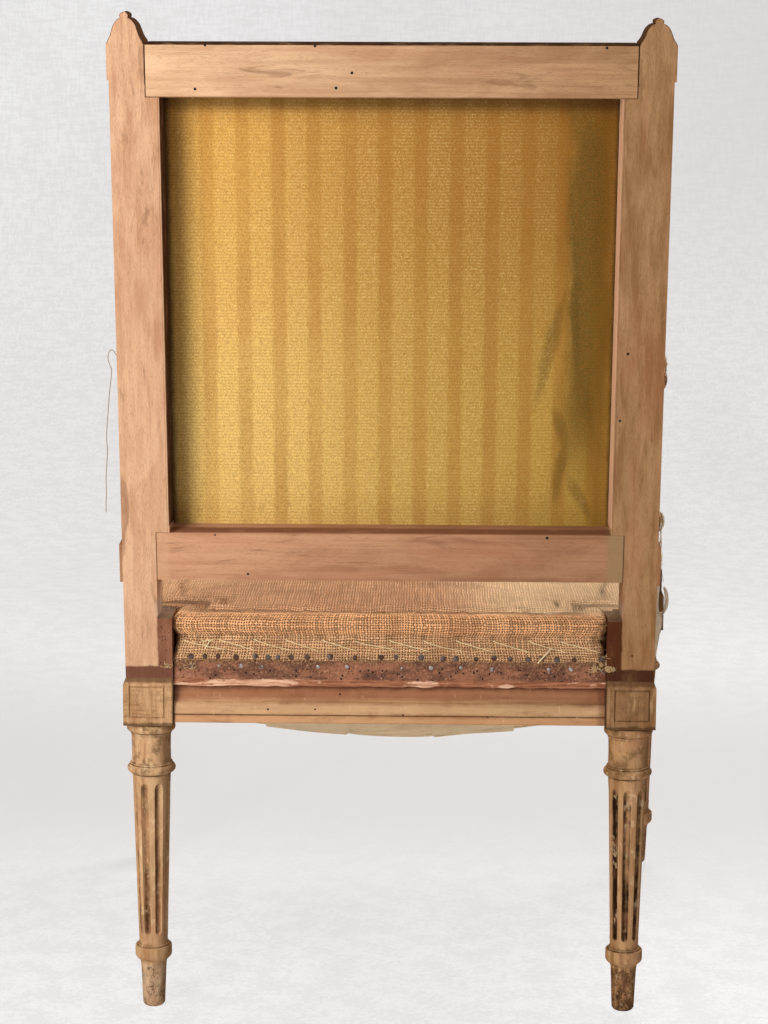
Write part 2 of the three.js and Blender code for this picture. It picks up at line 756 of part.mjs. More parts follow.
function armRing(station) {
  const middle = armPlace(station.share);
  const along = armPlace(1).sub(armPlace(0)).normalize();
  if (station.share === 0) middle.addScaledVector(along, -arm.edge - arm.edge);
  const across = new THREE.Vector3(-along.y, along.x, 0);
  const top = THREE.MathUtils.lerp(arm.frontTop, arm.rearTop, station.topShare);
  const thick = THREE.MathUtils.lerp(arm.thickness, arm.rearThickness, station.thickShare);
  const wide = arm.width * station.wideShare * half;
  const inner = wide - arm.edge;
  const outline = [
    [-inner, top - thick], [inner, top - thick], [wide, top - thick + arm.edge], [wide, top - arm.edge],
    [inner, top], [-inner, top], [-wide, top - arm.edge], [-wide, top - thick + arm.edge],
  ];
  return outline.map(([side, z]) => middle.clone().addScaledVector(across, side).setZ(z));
}

// The stile's front, moved out by the clearance, to scribe the arm's rear end on it
function stileFront() {
  const outline = frameSection(stileWidth).map(([across, depth]) => [stileOuter - across, depth]);
  return moved(prismSolid(outline, 0, stileTop), backFrame).translate([0, -fit, 0]);
}

function armSolid() {
  const bar = solid(loft(armStations.map(armRing)));
  const scroll = new THREE.CylinderGeometry(arm.scrollRadius, arm.scrollRadius, arm.scrollWidth, leg.sides);
  scroll.rotateZ(Math.PI * half);
  scroll.translate(frontX, frontY - arm.scrollRadius * half, arm.frontTop + arm.rise - arm.scrollRadius);
  const underside = armUnderside();
  const hole = pinSolid(frontX, frontY, underside - overrun, underside + baluster.pinLength + fit,
    baluster.pinRadius + fit);
  const flat = boxSolid(
    [frontX - arm.scrollWidth, frontY - arm.scrollRadius - arm.scrollRadius, underside - arm.scrollRadius],
    [frontX + arm.scrollWidth, frontY + baluster.capRadius + baluster.round, underside],
  );
  return bar
    .subtract(stileFront())
    .add(boxSolid(...armTenonBox()))
    .add(solid(scroll))
    .subtract(flat)
    .subtract(hole);
}

function armUnderside() {
  return arm.frontTop - arm.thickness;
}

// Swelling part of the arm support: share of its height, and share from the throat to the belly
const bellyShares = [[0, 0.9], [0.06, 0], [0.22, 1], [0.34, 1], [0.7, 0.3], [1, 0]];

// Turned support between the front leg's stub and the arm
function armSupport() {
  const b = baluster;
  const low = railTop + fit;
  const high = armUnderside() - fit;
  const bellyBottom = low + b.footHeight + b.filletHeight;
  const capBottom = high - b.capHeight;
  const ringBottom = capBottom - b.neckHeight - b.ringHeight;
  const belly = bellyShares.map(([up, swell]) => plainRing(
    THREE.MathUtils.lerp(bellyBottom, ringBottom, up),
    THREE.MathUtils.lerp(b.throatRadius, b.bellyRadius, swell),
    0,
  ));
  const turned = solid(loft([
    ...beadRings(low, b.footHeight, b.footRadius, b.round, 0),
    plainRing(low + b.footHeight, b.filletRadius, 0),
    ...belly,
    ...beadRings(ringBottom, b.ringHeight, b.ringRadius, b.round, 0),
    plainRing(ringBottom + b.ringHeight, b.throatRadius, 0),
    plainRing(capBottom, b.throatRadius, 0),
    ...beadRings(capBottom, b.capHeight, b.capRadius, b.round, 0),
  ])).translate([frontX, frontY, 0]);
  return turned
    .add(pinSolid(frontX, frontY, low - b.pinLength + fit, low + overrun, b.pinRadius))
    .add(pinSolid(frontX, frontY, high - overrun, high + b.pinLength - fit, b.pinRadius));
}

// Outline of the seat with notches round the four posts, drawn in by an inset, from the rear corner on
function seatCorners(inset) {
  const rearNotchX = rearX - blockHalf - seat.clearance - inset;
  const rearNotchY = -blockHalf - seat.clearance - inset;
  const frontNotchX = frontX - postInset - seat.clearance - inset;
  const frontNotchY = frontY + postInset + seat.clearance + inset;
  const outer = railOut - railMoulding.bandInset - inset;
  const left = [
    [rearNotchX, outer],
    [rearNotchX, rearNotchY],
    [sideRailX(rearNotchY, outer), rearNotchY],
    [sideRailX(frontNotchY, outer), frontNotchY],
    [frontNotchX, frontNotchY],
    [frontNotchX, frontY - outer],
  ];
  return [...left, ...left.map(([x, y]) => [-x, y]).reverse()];
}

const seatEdgeSteps = [1, 1, 4, 1, 1, 6, 1, 1, 4, 1, 1, 6];
const seatMiddle = new THREE.Vector2(0, frontY * half);

// Ring of the seat's outline, drawn in by an inset and then towards the middle by a share
function seatRing(inset, share, z) {
  const corners = seatCorners(inset);
  const ring = [];
  corners.forEach((corner, i) => {
    const next = corners[(i + 1) % corners.length];
    for (let k = 0; k < seatEdgeSteps[i]; k++) {
      const point = new THREE.Vector2(...corner).lerp(new THREE.Vector2(...next), k / seatEdgeSteps[i]);
      point.sub(seatMiddle).multiplyScalar(share).add(seatMiddle);
      ring.push(new THREE.Vector3(point.x, point.y, typeof z === "function" ? z(point) : z));
    }
  });
  return ring.reverse();
}

// Rings of the canvas and of the stuffing, as shares of the way from the seat's middle to its edge
const sheetShares = [0.2, 0.5, 0.84, 1];
const seatDomeShares = [0.78, 0.5, 0.22];

function canvasHeight(share) {
  return railTop + fit + canvas.rise * (1 - share * share);
}

function springCanvas() {
  const under = sheetShares.map((share) => seatRing(canvas.inset, share, canvasHeight(share)));
  const over = [...sheetShares]
    .reverse()
    .map((share) => seatRing(canvas.inset, share, canvasHeight(share) + canvas.thickness));
  return loft([...under, ...over]);
}

// Seat stuffing: tacked wall, stitched roll round the edge, gutter behind it and a low crown
function seatStuffing() {
  const floor = canvas.thickness + fit;
  const base = railTop + fit + floor;
  const rollTop = railTop + seat.rollHeight;
  const rollMiddle = (rollTop + railTop + seat.creaseHeight) * half;
  const gutter = rollTop - seat.gutterDrop;
  const inner = (share) => THREE.MathUtils.lerp(gutter, rollTop + seat.crown, 1 - share * share);
  const under = sheetShares.map((share) => seatRing(canvas.inset, share, canvasHeight(share) + floor));
  return loft([
    ...under,
    seatRing(0, 1, base),
    seatRing(seat.creaseInset, 1, railTop + seat.creaseHeight),
    seatRing(-seat.rollBulge * half, 1, rollMiddle - seat.rollBulge),
    seatRing(-seat.rollBulge * half, 1, rollMiddle + seat.rollBulge),
    seatRing(seat.rollBulge, 1, rollTop - seat.rollBulge * half),
    seatRing(seat.rollWidth * half, 1, rollTop),
    seatRing(seat.gutterWidth, 1, gutter),
    ...seatDomeShares.map((share) => seatRing(seat.gutterWidth, share, inner(share))),
  ]);
}

// Sagging surface of the seat webbing
function sagHeight(x, y) {
  const across = x / sideRailX(y, railIn);
  const along = (y - frontY * half) / (frontY * half + railIn);
  const dip = (1 - across * across) * (1 - along * along) * (1 - webbing.skewShare * across);
  return railBottom - fit - webbing.thickness * half - webbing.weave - webbing.sag * dip;
}

// Edges of the straps: lines from rear to front, fanned with the frame, and level lines across
const strapPitch = webbing.width + webbing.gap;

function lengthwiseEdge(i, y) {
  const strap = Math.floor(i * half);
  const middle = (strap - (webbing.straps - 1) * half) * strapPitch;
  const fan = sideRailX(y, railIn) / sideRailX(0, railIn);
  return middle * fan + (i % 2 === 0 ? -1 : 1) * webbing.width * half;
}

function crosswiseEdge(j) {
  const strap = Math.floor(j * half);
  const middle = frontY * half - (strap - (webbing.straps - 1) * half) * strapPitch;
  return middle + (j % 2 === 0 ? 1 : -1) * webbing.width * half;
}

// One strap from its nodes: a height for each node, and the strap's thickness about it
function strapGeometry(nodes) {
  const raise = (dz) => nodes.map((row) => row.map((p) => new THREE.Vector3(p.x, p.y, p.z + dz)));
  return slab(raise(webbing.thickness * half), raise(-webbing.thickness * half));
}

function lengthwiseStrap(k) {
  const flat = railBottom - fit - webbing.thickness * half;
  const rows = [2 * k, 2 * k + 1].map((i) => {
    const rearInner = railIn - fit;
    const frontInner = frontY - railIn + fit;
    const row = [
      [rearInner + webbing.lap, flat],
      [rearInner, flat],
    ];
    for (let j = 0; j < 2 * webbing.straps; j++) {
      const y = crosswiseEdge(j);
      const over = (k + Math.floor(j * half)) % 2 === 0 ? 1 : -1;
      row.push([y, sagHeight(lengthwiseEdge(i, y), y) + over * webbing.weave]);
    }
    row.push([frontInner, flat], [frontInner - webbing.lap, flat]);
    return row.map(([y, z]) => new THREE.Vector3(lengthwiseEdge(i, y), y, z)).reverse();
  });
  return strapGeometry(rows);
}

function crosswiseStrap(k) {
  const flat = railBottom - fit - webbing.thickness * half;
  const columns = [2 * k + 1, 2 * k].map((j) => {
    const y = crosswiseEdge(j);
    const inner = sideRailX(y, railIn);
    const column = [
      [-inner - webbing.lap, flat],
      [-inner, flat],
    ];
    for (let i = 0; i < 2 * webbing.straps; i++) {
      const x = lengthwiseEdge(i, y);
      const over = (k + Math.floor(i * half)) % 2 === 0 ? -1 : 1;
      column.push([x, sagHeight(x, y) + over * webbing.weave]);
    }
    column.push([inner, flat], [inner + webbing.lap, flat]);
    return column.map(([x, z]) => new THREE.Vector3(x, y, z));
  });
  const nodes = columns[0].map((point, i) => [point, columns[1][i]]);
  return strapGeometry(nodes);
}

// Height of the webbing's upper facets over a point, from the nodes at the straps' edges
function webbingTop(x, y) {
  const last = 2 * webbing.straps - 2;
  const indices = [...Array(last + 1).keys()];
  const j = Math.max(0, indices.findLastIndex((k) => crosswiseEdge(k) >= y));
  const i = Math.max(0, indices.findLastIndex((k) => lengthwiseEdge(k, y) <= x));
  const along = THREE.MathUtils.inverseLerp(crosswiseEdge(j), crosswiseEdge(j + 1), y);
  const across = THREE.MathUtils.inverseLerp(lengthwiseEdge(i, y), lengthwiseEdge(i + 1, y), x);
  const node = (di, dj) => {
    const edge = crosswiseEdge(j + dj);
    return sagHeight(lengthwiseEdge(i + di, edge), edge);
  };
  const rear = THREE.MathUtils.lerp(node(0, 0), node(1, 0), across);
  const front = THREE.MathUtils.lerp(node(0, 1), node(1, 1), across);
  return THREE.MathUtils.lerp(rear, front, along) + webbing.weave + webbing.thickness * half;
}

// Height of the canvas's lower facets over a point, between its rings
function canvasUnder(x, y) {
  const outer = railOut - railMoulding.bandInset - canvas.inset;
  const beyond = Math.abs(y - seatMiddle.y) / (outer - seatMiddle.y);
  const fan = sideRailX(y, 0) - sideRailX(seatMiddle.y, 0);
  const aside = (Math.abs(x) - fan) / sideRailX(seatMiddle.y, outer);
  const share = THREE.MathUtils.clamp(Math.max(beyond, aside), sheetShares[0], 1);
  const k = sheetShares.findIndex((ring) => ring >= share);
  const before = sheetShares[Math.max(k - 1, 0)];
  const way = k > 0 ? (share - before) / (sheetShares[k] - before) : 0;
  return THREE.MathUtils.lerp(canvasHeight(before), canvasHeight(sheetShares[k]), way);
}

// Hourglass spring from the webbing up to the canvas, both ends towards the seat's middle and run out
// straight for one wire
function springPoints(middleX, middleY) {
  const turn = Math.atan2(seatMiddle.y - middleY, -middleX);
  const steps = spring.curls * spring.stepsPerCurl;
  const place = (share, beyond) => {
    const angle = turn + 2 * Math.PI * spring.curls * share;
    const squeeze = Math.sin(Math.PI * share);
    const radius = THREE.MathUtils.lerp(spring.endRadius, spring.waistRadius, squeeze * squeeze);
    const x = middleX + radius * Math.cos(angle) - beyond * Math.sin(angle);
    const y = middleY + radius * Math.sin(angle) + beyond * Math.cos(angle);
    const lie = THREE.MathUtils.smootherstep(share, 0, 1) * half + share * half;
    const low = webbingTop(x, y) + spring.wire + fit + fit;
    const high = canvasUnder(x, y) - spring.wire - fit - fit;
    return new THREE.Vector3(x, y, THREE.MathUtils.lerp(low, high, lie));
  };
  const points = [place(0, -spring.wire - spring.wire)];
  for (let i = 0; i <= steps; i++) {
    points.push(place(i / steps, 0));
  }
  points.push(place(1, spring.wire + spring.wire));
  return points;
}

function springGeometry(middleX, middleY) {
  const points = springPoints(middleX, middleY);
  const rings = points.map((point, i) => {
    const before = points[Math.max(i - 1, 0)];
    const after = points[Math.min(i + 1, points.length - 1)];
    const along = after.clone().sub(before).normalize();
    const outward = new THREE.Vector3(point.x - middleX, point.y - middleY, 0).normalize();
    const up = new THREE.Vector3().crossVectors(outward, along).normalize();
    const out = new THREE.Vector3().crossVectors(along, up).normalize();
    const ring = [];
    for (let k = 0; k < spring.sides; k++) {
      const angle = (2 * Math.PI * k) / spring.sides;
      ring.push(point.clone()
        .addScaledVector(out, spring.wire * Math.cos(angle))
        .addScaledVector(up, -spring.wire * Math.sin(angle)));
    }
    return ring;
  });
  return loft(rings);
}

// Least gap of a spring to itself, measured between points more than half a curl apart
function leastSpringGap(points) {
  let least = Infinity;
  for (let i = 0; i < points.length; i++) {
    for (let j = i + spring.stepsPerCurl * half; j < points.length; j++) {
      least = Math.min(least, points[i].distanceTo(points[j]));
    }
  }
  return least - spring.wire - spring.wire;
}

// Soft block over a rectangle: rings drawn in from its edge, each with a height
function rectangleRing(halfX, halfZ, steps) {
  const corners = [[halfX, -halfZ], [halfX, halfZ], [-halfX, halfZ], [-halfX, -halfZ]];
  const ring = [];
  corners.forEach((corner, i) => {
    const next = corners[(i + 1) % corners.length];
    for (let k = 0; k < steps[i % 2]; k++) {
      ring.push(new THREE.Vector2(...corner).lerp(new THREE.Vector2(...next), k / steps[i % 2]));
    }
  });
  return ring;
}

// Back webbing, interlaced in the frame of the back, its ends on the rebate's floor
function backWebPlaces() {
  const pitch = backWeb.width + backWeb.gap;
  return [-pitch * half, pitch * half];
}

function backStrap(upright, k) {
  const reach = upright ? backReachZ : backReachX;
  const inner = reach - moulding.rebateWidth - moulding.rebateWidth;
  const edgeLevel = rebateFloor - fit - panel.thickness - fit - backWeb.thickness * half;
  const level = rebateFloor - fit - panel.thickness - panel.bulge - backWeb.thickness - backWeb.weave;
  const places = backWebPlaces();
  const stations = [[-reach, edgeLevel], [-inner, level]];
  places.forEach((middle, m) => {
    const over = (k + m + (upright ? 0 : 1)) % 2 === 0 ? 1 : -1;
    const y = level + over * backWeb.weave;
    stations.push([middle - backWeb.width * half, y], [middle + backWeb.width * half, y]);
  });
  stations.push([inner, level], [reach, edgeLevel]);
  const edges = [places[k] - backWeb.width * half, places[k] + backWeb.width * half];
  const nodes = edges.map((edge) => stations.map(([along, y]) => (
    upright ? new THREE.Vector3(edge, y, backMiddle + along) : new THREE.Vector3(along, y, backMiddle + edge)
  )));
  const shifted = (dy) => nodes.map((row) => row.map((p) => new THREE.Vector3(p.x, p.y + dy, p.z)));
  const front = shifted(-backWeb.thickness * half);
  const rear = shifted(backWeb.thickness * half);
  return upright ? slab(front, rear) : slab(rear, front);
}

// Flat middle of the back stuffing's rear, and rings of its dome
const backBaseShare = 0.3;
const backDomeShares = [0.76, 0.48, 0.2];

// Inside back stuffing, seated on the straps, between the beads of the frame
function backStuffingGeometry() {
  const s = backStuffing;
  const web = backWeb.thickness + backWeb.thickness * half + backWeb.weave + backWeb.weave;
  const edge = rebateFloor - fit - panel.thickness - fit - fit - backWeb.thickness - fit;
  const base = rebateFloor - fit - panel.thickness - panel.bulge - fit - web;
  const front = base - s.wall;
  const ring = (inset, share, y) =>
    rectangleRing((backReachX - inset) * share, (backReachZ - inset) * share, [6, 6])
      .map((p) => new THREE.Vector3(p.x, y, backMiddle + p.y));
  const dome = (share) => front + s.gutterDrop - (s.crown + s.gutterDrop) * (1 - share * share);
  const rings = [
    ring(s.rollWidth, backBaseShare, base),
    ring(s.rollWidth, 1, base),
    ring(0, 1, edge),
    ring(0, 1, front + s.roll + s.roll),
    ring(s.roll, 1, front + s.roll * half),
    ring(s.rollWidth * half, 1, front),
    ring(s.rollWidth + s.roll, 1, front + s.gutterDrop),
    ...backDomeShares.map((share) => ring(s.rollWidth, share, dome(share))),
  ];
  return loft(rings);
}

// Outside back panel, a thin sheet in the rebate, bowed a little towards the stuffing
function panelGeometry() {
  const grid = (dy) => {
    const rows = [];
    for (let i = 0; i <= panel.steps; i++) {
      const across = (2 * i) / panel.steps - 1;
      const row = [];
      for (let j = 0; j <= panel.steps; j++) {
        const along = (2 * j) / panel.steps - 1;
        const bow = panel.bulge * (1 - across ** 4) * (1 - along ** 4);
        const y = rebateFloor - fit - bow + dy;
        row.push(new THREE.Vector3(across * backReachX, y, backMiddle + along * backReachZ));
      }
      rows.push(row);
    }
    return rows;
  };
  return slab(grid(-panel.thickness), grid(0));
}

// Rings of the arm pad: shares of its height up the wall, and shares of its plan over the crown
const padWallShares = [0.3, 0.58];
const padDomeShares = [0.74, 0.35];

// Arm pad along the arm, from its own middle line
function armPadGeometry() {
  const p = armPad;
  const ring = (inset, share, z) =>
    rectangleRing((p.width * half - inset) * share, (p.length * half - inset) * share, [6, 3])
      .map((q) => new THREE.Vector3(q.x, q.y, z));
  const dome = (share) => p.height - p.crown * share * share;
  return loft([
    ring(p.sink, 1, 0),
    ...padWallShares.map((share) => ring(0, 1, p.height * share)),
    ring(p.sink, 1, p.height - p.crown - p.sink * half),
    ...padDomeShares.map((share) => ring(p.sink, share, dome(share))),
  ]);
}

// Thread: a fine tube along its route
function threadGeometry() {
  const route = new THREE.CatmullRomCurve3(threadRoute.map((place) => new THREE.Vector3(...place)));
  const sides = [...Array(8).keys()];
  const outline = new THREE.Shape(sides.map((i) => {
    const angle = (2 * Math.PI * i) / sides.length;
    const radius = threadDiameter * half;
    return new THREE.Vector2(radius * Math.cos(angle), radius * Math.sin(angle));
  }));
  return new THREE.ExtrudeGeometry(outline, {
    steps: threadSteps, bevelEnabled: false, extrudePath: route, curveSegments: 1,
  });
}

// The chair
const chair = new THREE.Group();

function addNode(name, made, material, parent = chair) {
  const geometry = made.isBufferGeometry ? made : geometryOf(made);
  const mesh = new THREE.Mesh(geometry, material);
  mesh.name = name;
  parent.add(mesh);
  return mesh;
}

addNode("rear_post_left", rearPost(fluteTurn.rearLeft, finial.leftHeight), beech);
addNode("rear_post_right", mirrored(rearPost(-fluteTurn.rearRight, finial.rightHeight)), beech);
addNode("front_leg_left", frontLeg(fluteTurn.frontLeft), beechWorn);
addNode("front_leg_right", mirrored(frontLeg(-fluteTurn.frontRight)), beechWorn);
addNode("seat_rail_rear", rearRail(), beechWorn);
addNode("seat_rail_front", frontRail(), beechWorn);
addNode("seat_rail_left", sideRail(), beechWorn);
addNode("seat_rail_right", mirrored(sideRail()), beechWorn);
addNode("corner_block_rear_left", rearCornerBlock(), beechWorn);
addNode("corner_block_rear_right", mirrored(rearCornerBlock()), beechWorn);
addNode("corner_block_front_left", frontCornerBlock(), beechWorn);
addNode("corner_block_front_right", mirrored(frontCornerBlock()), beechWorn);
addNode("arm_left", armSolid(), beech);
addNode("arm_right", mirrored(armSolid()), beech);
addNode("arm_support_left", armSupport(), beech);
addNode("arm_support_right", mirrored(armSupport()), beech);

for (let k = 0; k < webbing.straps; k++) {
  addNode(`seat_strap_lengthwise_${k + 1}`, lengthwiseStrap(k), jute);
  addNode(`seat_strap_crosswise_${k + 1}`, crosswiseStrap(k), jute);
}

let springGap = Infinity;
for (let row = 0; row < spring.perRow; row++) {
  for (let column = 0; column < spring.perRow; column++) {
    const x = (column - (spring.perRow - 1) * half) * spring.spacing;
    const y = frontY * half + ((spring.perRow - 1) * half - row) * spring.rowSpacing;
    springGap = Math.min(springGap, leastSpringGap(springPoints(x, y)));
    addNode(`spring_${row + 1}_${column + 1}`, springGeometry(x, y), steel);
  }
}
console.log("least gap of a spring to itself, mm:", springGap.toFixed(2));

addNode("spring_canvas", springCanvas(), hessian);
addNode("seat_stuffing", seatStuffing(), hessian);

const backGroup = new THREE.Group();
backGroup.applyMatrix4(backFrame);
chair.add(backGroup);
addNode("back_bottom_rail", bottomRail(), beech, backGroup);
addNode("back_top_rail", topRail(), beech, backGroup);
addNode("outside_back_panel", panelGeometry(), velvet, backGroup);
for (let k = 0; k < 2; k++) {
  addNode(`back_strap_upright_${k + 1}`, backStrap(true, k), jute, backGroup);
  addNode(`back_strap_level_${k + 1}`, backStrap(false, k), jute, backGroup);
}
addNode("back_stuffing", backStuffingGeometry(), hessian, backGroup);

const armLength = armPlace(0).distanceTo(armPlace(1));
for (const [name, side] of [["arm_pad_left", 1], ["arm_pad_right", -1]]) {
  const padMesh = addNode(name, armPadGeometry(), hessian);
  const middle = armPlace(armPad.startShare + (armPad.length * half) / armLength);
  const along = armPlace(1).sub(armPlace(0));
  padMesh.position.set(side * middle.x, middle.y, arm.frontTop + fit);
  padMesh.rotation.z = side * Math.atan2(along.x, -along.y);
}

addNode("loose_thread", threadGeometry(), hessian);

// Origin on the floor under the middle of the chair's outer box
chair.updateMatrixWorld(true);
const outer = new THREE.Box3().setFromObject(chair);
chair.position.set(-(outer.min.x + outer.max.x) * half, -(outer.min.y + outer.max.y) * half, -outer.min.z);

export default chair;
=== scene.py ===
import math
import random

import bmesh
import bpy
from mathutils import Matrix, Quaternion, Vector, noise


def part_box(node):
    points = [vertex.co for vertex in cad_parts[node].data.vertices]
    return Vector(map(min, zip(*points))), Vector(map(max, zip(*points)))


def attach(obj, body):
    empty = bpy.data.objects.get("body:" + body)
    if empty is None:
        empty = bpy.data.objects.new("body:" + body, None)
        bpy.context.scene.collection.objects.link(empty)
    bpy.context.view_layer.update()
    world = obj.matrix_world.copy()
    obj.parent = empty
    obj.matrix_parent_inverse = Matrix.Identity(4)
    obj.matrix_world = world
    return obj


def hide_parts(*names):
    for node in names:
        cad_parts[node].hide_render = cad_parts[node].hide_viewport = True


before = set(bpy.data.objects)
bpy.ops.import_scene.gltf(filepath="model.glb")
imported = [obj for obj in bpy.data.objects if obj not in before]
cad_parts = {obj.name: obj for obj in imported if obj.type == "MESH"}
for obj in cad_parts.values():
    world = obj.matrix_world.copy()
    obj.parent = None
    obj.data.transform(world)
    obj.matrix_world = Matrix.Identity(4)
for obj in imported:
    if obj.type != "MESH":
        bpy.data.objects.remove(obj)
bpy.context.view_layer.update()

mm = 0.001

# sizes that several pieces share, in metres
rearAxisY = 0.226614  # the rear legs' axis in the row frame
legDepth = 0.519  # from the rear legs' axis to the front one
blockTop = 0.3589
legTop = 0.3087
rake = math.radians(6.275)  # the lean of the back
plan = {"rearX": 0.2485, "frontX": 0.3117, "frontY": rearAxisY - legDepth, "blockHalf": 0.02565}
anywhere = (None, None)  # no limits along an axis


def addObject(name, data):
    piece = bpy.data.objects.new(name, data)
    bpy.context.scene.collection.objects.link(piece)
    return piece


# camera

cameraSetup = {
    "lens": 77.45,
    "sensor": 36,
    "place": (-0.0324, 2.463814, 0.8601),
    "pitch": 8.40,
    "yaw": 0.0174,
    "roll": 0.0044,
}


def makeCamera(setup):
    data = bpy.data.cameras.new("camera")
    data.lens = setup["lens"]
    data.sensor_width = setup["sensor"]
    camera = addObject("camera", data)
    pitch = math.radians(setup["pitch"])
    yaw = setup["yaw"]
    forward = Vector((math.sin(yaw) * math.cos(pitch), -math.cos(yaw) * math.cos(pitch), -math.sin(pitch)))
    camera.location = setup["place"]
    camera.rotation_mode = "QUATERNION"
    camera.rotation_quaternion = forward.to_track_quat("-Z", "Y") @ Quaternion((0, 0, 1), setup["roll"])
    bpy.context.scene.camera = camera


makeCamera(cameraSetup)
print("camera placed")


# mesh helpers

def newObject(name, bm, materials, sharpAngle=None):
    bmesh.ops.recalc_face_normals(bm, faces=bm.faces)
    for face in bm.faces:
        face.smooth = True
    if sharpAngle is not None:
        limit = math.radians(sharpAngle)
        for edge in bm.edges:
            if len(edge.link_faces) == 2 and edge.calc_face_angle(0) > limit:
                edge.smooth = False
    mesh = bpy.data.meshes.new(name)
    bm.to_mesh(mesh)
    bm.free()
    for material in materials:
        mesh.materials.append(material)
    return addObject(name, mesh)


def dirtAndShadeLayer(bm):
    layer = bm.verts.layers.float.get("dirtAndShade")
    return layer or bm.verts.layers.float.new("dirtAndShade")


# closed skin over rings of points; a ring point is (spot, dirt and painted shade)
def addRings(bm, rings, slot=0):
    layer = dirtAndShadeLayer(bm)
    made = []
    for ring in rings:
        row = []
        for spot, dirtAndShade in ring:
            vert = bm.verts.new(spot)
            vert[layer] = dirtAndShade
            row.append(vert)
        made.append(row)
    count = len(made[0])
    for low, high in zip(made, made[1:]):
        for i in range(count):
            j = (i + 1) % count
            bm.faces.new((low[i], low[j], high[j], high[i])).material_index = slot
    for row in (made[0], made[-1]):
        hub = bm.verts.new(sum((v.co for v in row), Vector()) / count)
        hub[layer] = sum(v[layer] for v in row) / count
        for i in range(count):
            bm.faces.new((row[i], row[(i + 1) % count], hub)).material_index = slot
    return made


# a round tube along points
def addTube(bm, points, radius, sides=6, taper=1.0):
    points = [Vector(p) for p in points]
    side = None
    rings = []
    for k, point in enumerate(points):
        along = (points[min(k + 1, len(points) - 1)] - points[max(k - 1, 0)]).normalized()
        if side is None:
            side = along.orthogonal().normalized()
        side = (side - along * side.dot(along)).normalized()
        other = along.cross(side)
        share = k / max(len(points) - 1, 1)
        r = radius * (1 + (taper - 1) * share)
        rings.append([
            (point + (side * math.cos(a) + other * math.sin(a)) * r, 0.0)
            for a in (2 * math.pi * s / sides for s in range(sides))
        ])
    addRings(bm, rings)


def smoothCurve(points, count):
    points = [Vector(p) for p in points]
    padded = [points[0] * 2 - points[1]] + points + [points[-1] * 2 - points[-2]]
    result = []
    spans = len(points) - 1
    for k in range(count + 1):
        t = k / count * spans
        i = min(int(t), spans - 1)
        u = t - i
        a, b, c, d = padded[i:i + 4]
        result.append(0.5 * ((2 * b) + (c - a) * u + (2 * a - 5 * b + 4 * c - d) * u * u
                             + (3 * b - a - 3 * c + d) * u * u * u))
    return result


def lerp(a, b, share):
    return a + (b - a) * share


def ramp(value, low, high):
    share = min(max((value - low) / (high - low), 0), 1)
    return share * share * (3 - 2 * share)


# a thin cloth with two sides and a closed rim; spotAt(i, j, back) gives a corner and its dirt
def addSheet(bm, across, up, spotAt):
    layer = dirtAndShadeLayer(bm)
    sides = []
    for back in (0, 1):
        rows = []
        for i in range(across + 1):
            row = []
            for j in range(up + 1):
                spot, dirtAndShade = spotAt(i, j, back)
                vert = bm.verts.new(spot)
                vert[layer] = dirtAndShade
                row.append(vert)
            rows.append(row)
        sides.append(rows)
    face, rear = sides
    area = 0
    for i in range(across):
        for j in range(up):
            quad = bm.faces.new((face[i][j], face[i][j + 1], face[i + 1][j + 1], face[i + 1][j]))
            area += quad.calc_area()
            bm.faces.new((rear[i][j], rear[i + 1][j], rear[i + 1][j + 1], rear[i][j + 1]))
    rim = [(i, 0) for i in range(across)] + [(across, j) for j in range(up)]
    rim += [(i, up) for i in range(across, 0, -1)] + [(0, j) for j in range(up, 0, -1)]
    for (i, j), (i2, j2) in zip(rim, rim[1:] + rim[:1]):
        bm.faces.new((face[i][j], face[i2][j2], rear[i2][j2], rear[i][j]))
    return area


def place(piece, nodes):
    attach(piece, "root")
    if nodes:
        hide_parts(*nodes)
    return piece


def copyOfNode(name):
    bm = bmesh.new()
    bm.from_mesh(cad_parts[name].data)
    bmesh.ops.remove_doubles(bm, verts=bm.verts, dist=2e-6)
    return bm


# shader helpers; they add to the tree that newGroup or newMaterial opened last

current = {}


def newGroup(name, inputs, outputs):
    tree = current["tree"] = bpy.data.node_groups.new(name, "ShaderNodeTree")
    for title, kind, value in inputs:
        socket = tree.interface.new_socket(title, in_out="INPUT", socket_type="NodeSocket" + kind)
        if value is not None:
            socket.default_value = value
    for title, kind in outputs:
        tree.interface.new_socket(title, in_out="OUTPUT", socket_type="NodeSocket" + kind)
    return tree, tree.nodes.new("NodeGroupInput").outputs, tree.nodes.new("NodeGroupOutput").inputs


def newNode(kind, **settings):
    node = current["tree"].nodes.new("ShaderNode" + kind)
    for name, value in settings.items():
        setattr(node, name, value)
    return node


def setOrWire(value, socket):
    if isinstance(value, bpy.types.NodeSocket):
        current["tree"].links.new(value, socket)
    else:
        socket.default_value = value


def mathNode(operation, *values, clamp=False):
    node = newNode("Math", operation=operation, use_clamp=clamp)
    for socket, value in zip(node.inputs, values):
        setOrWire(value, socket)
    return node.outputs[0]


def times(a, b, clamp=False):
    return mathNode("MULTIPLY", a, b, clamp=clamp)


def timesPlus(a, b, c):
    return mathNode("MULTIPLY_ADD", a, b, c)


def plus(a, b, clamp=False):
    return mathNode("ADD", a, b, clamp=clamp)


def minus(a, b):
    return mathNode("SUBTRACT", a, b)


def vectorMath(operation, *values):
    node = newNode("VectorMath", operation=operation)
    for socket, value in zip(node.inputs, values):
        setOrWire(value, socket)
    return node.outputs[0]


def mixColor(factor, a, b):
    node = newNode("Mix", data_type="RGBA")
    for index, value in ((0, factor), (6, a), (7, b)):
        setOrWire(value, node.inputs[index])
    return node.outputs[2]


def mapRange(value, low, high, outLow=0.0, outHigh=1.0, smooth=True):
    node = newNode("MapRange", interpolation_type="SMOOTHSTEP" if smooth else "LINEAR")
    for socket, item in zip(node.inputs, (value, low, high, outLow, outHigh)):
        setOrWire(item, socket)
    return node.outputs[0]


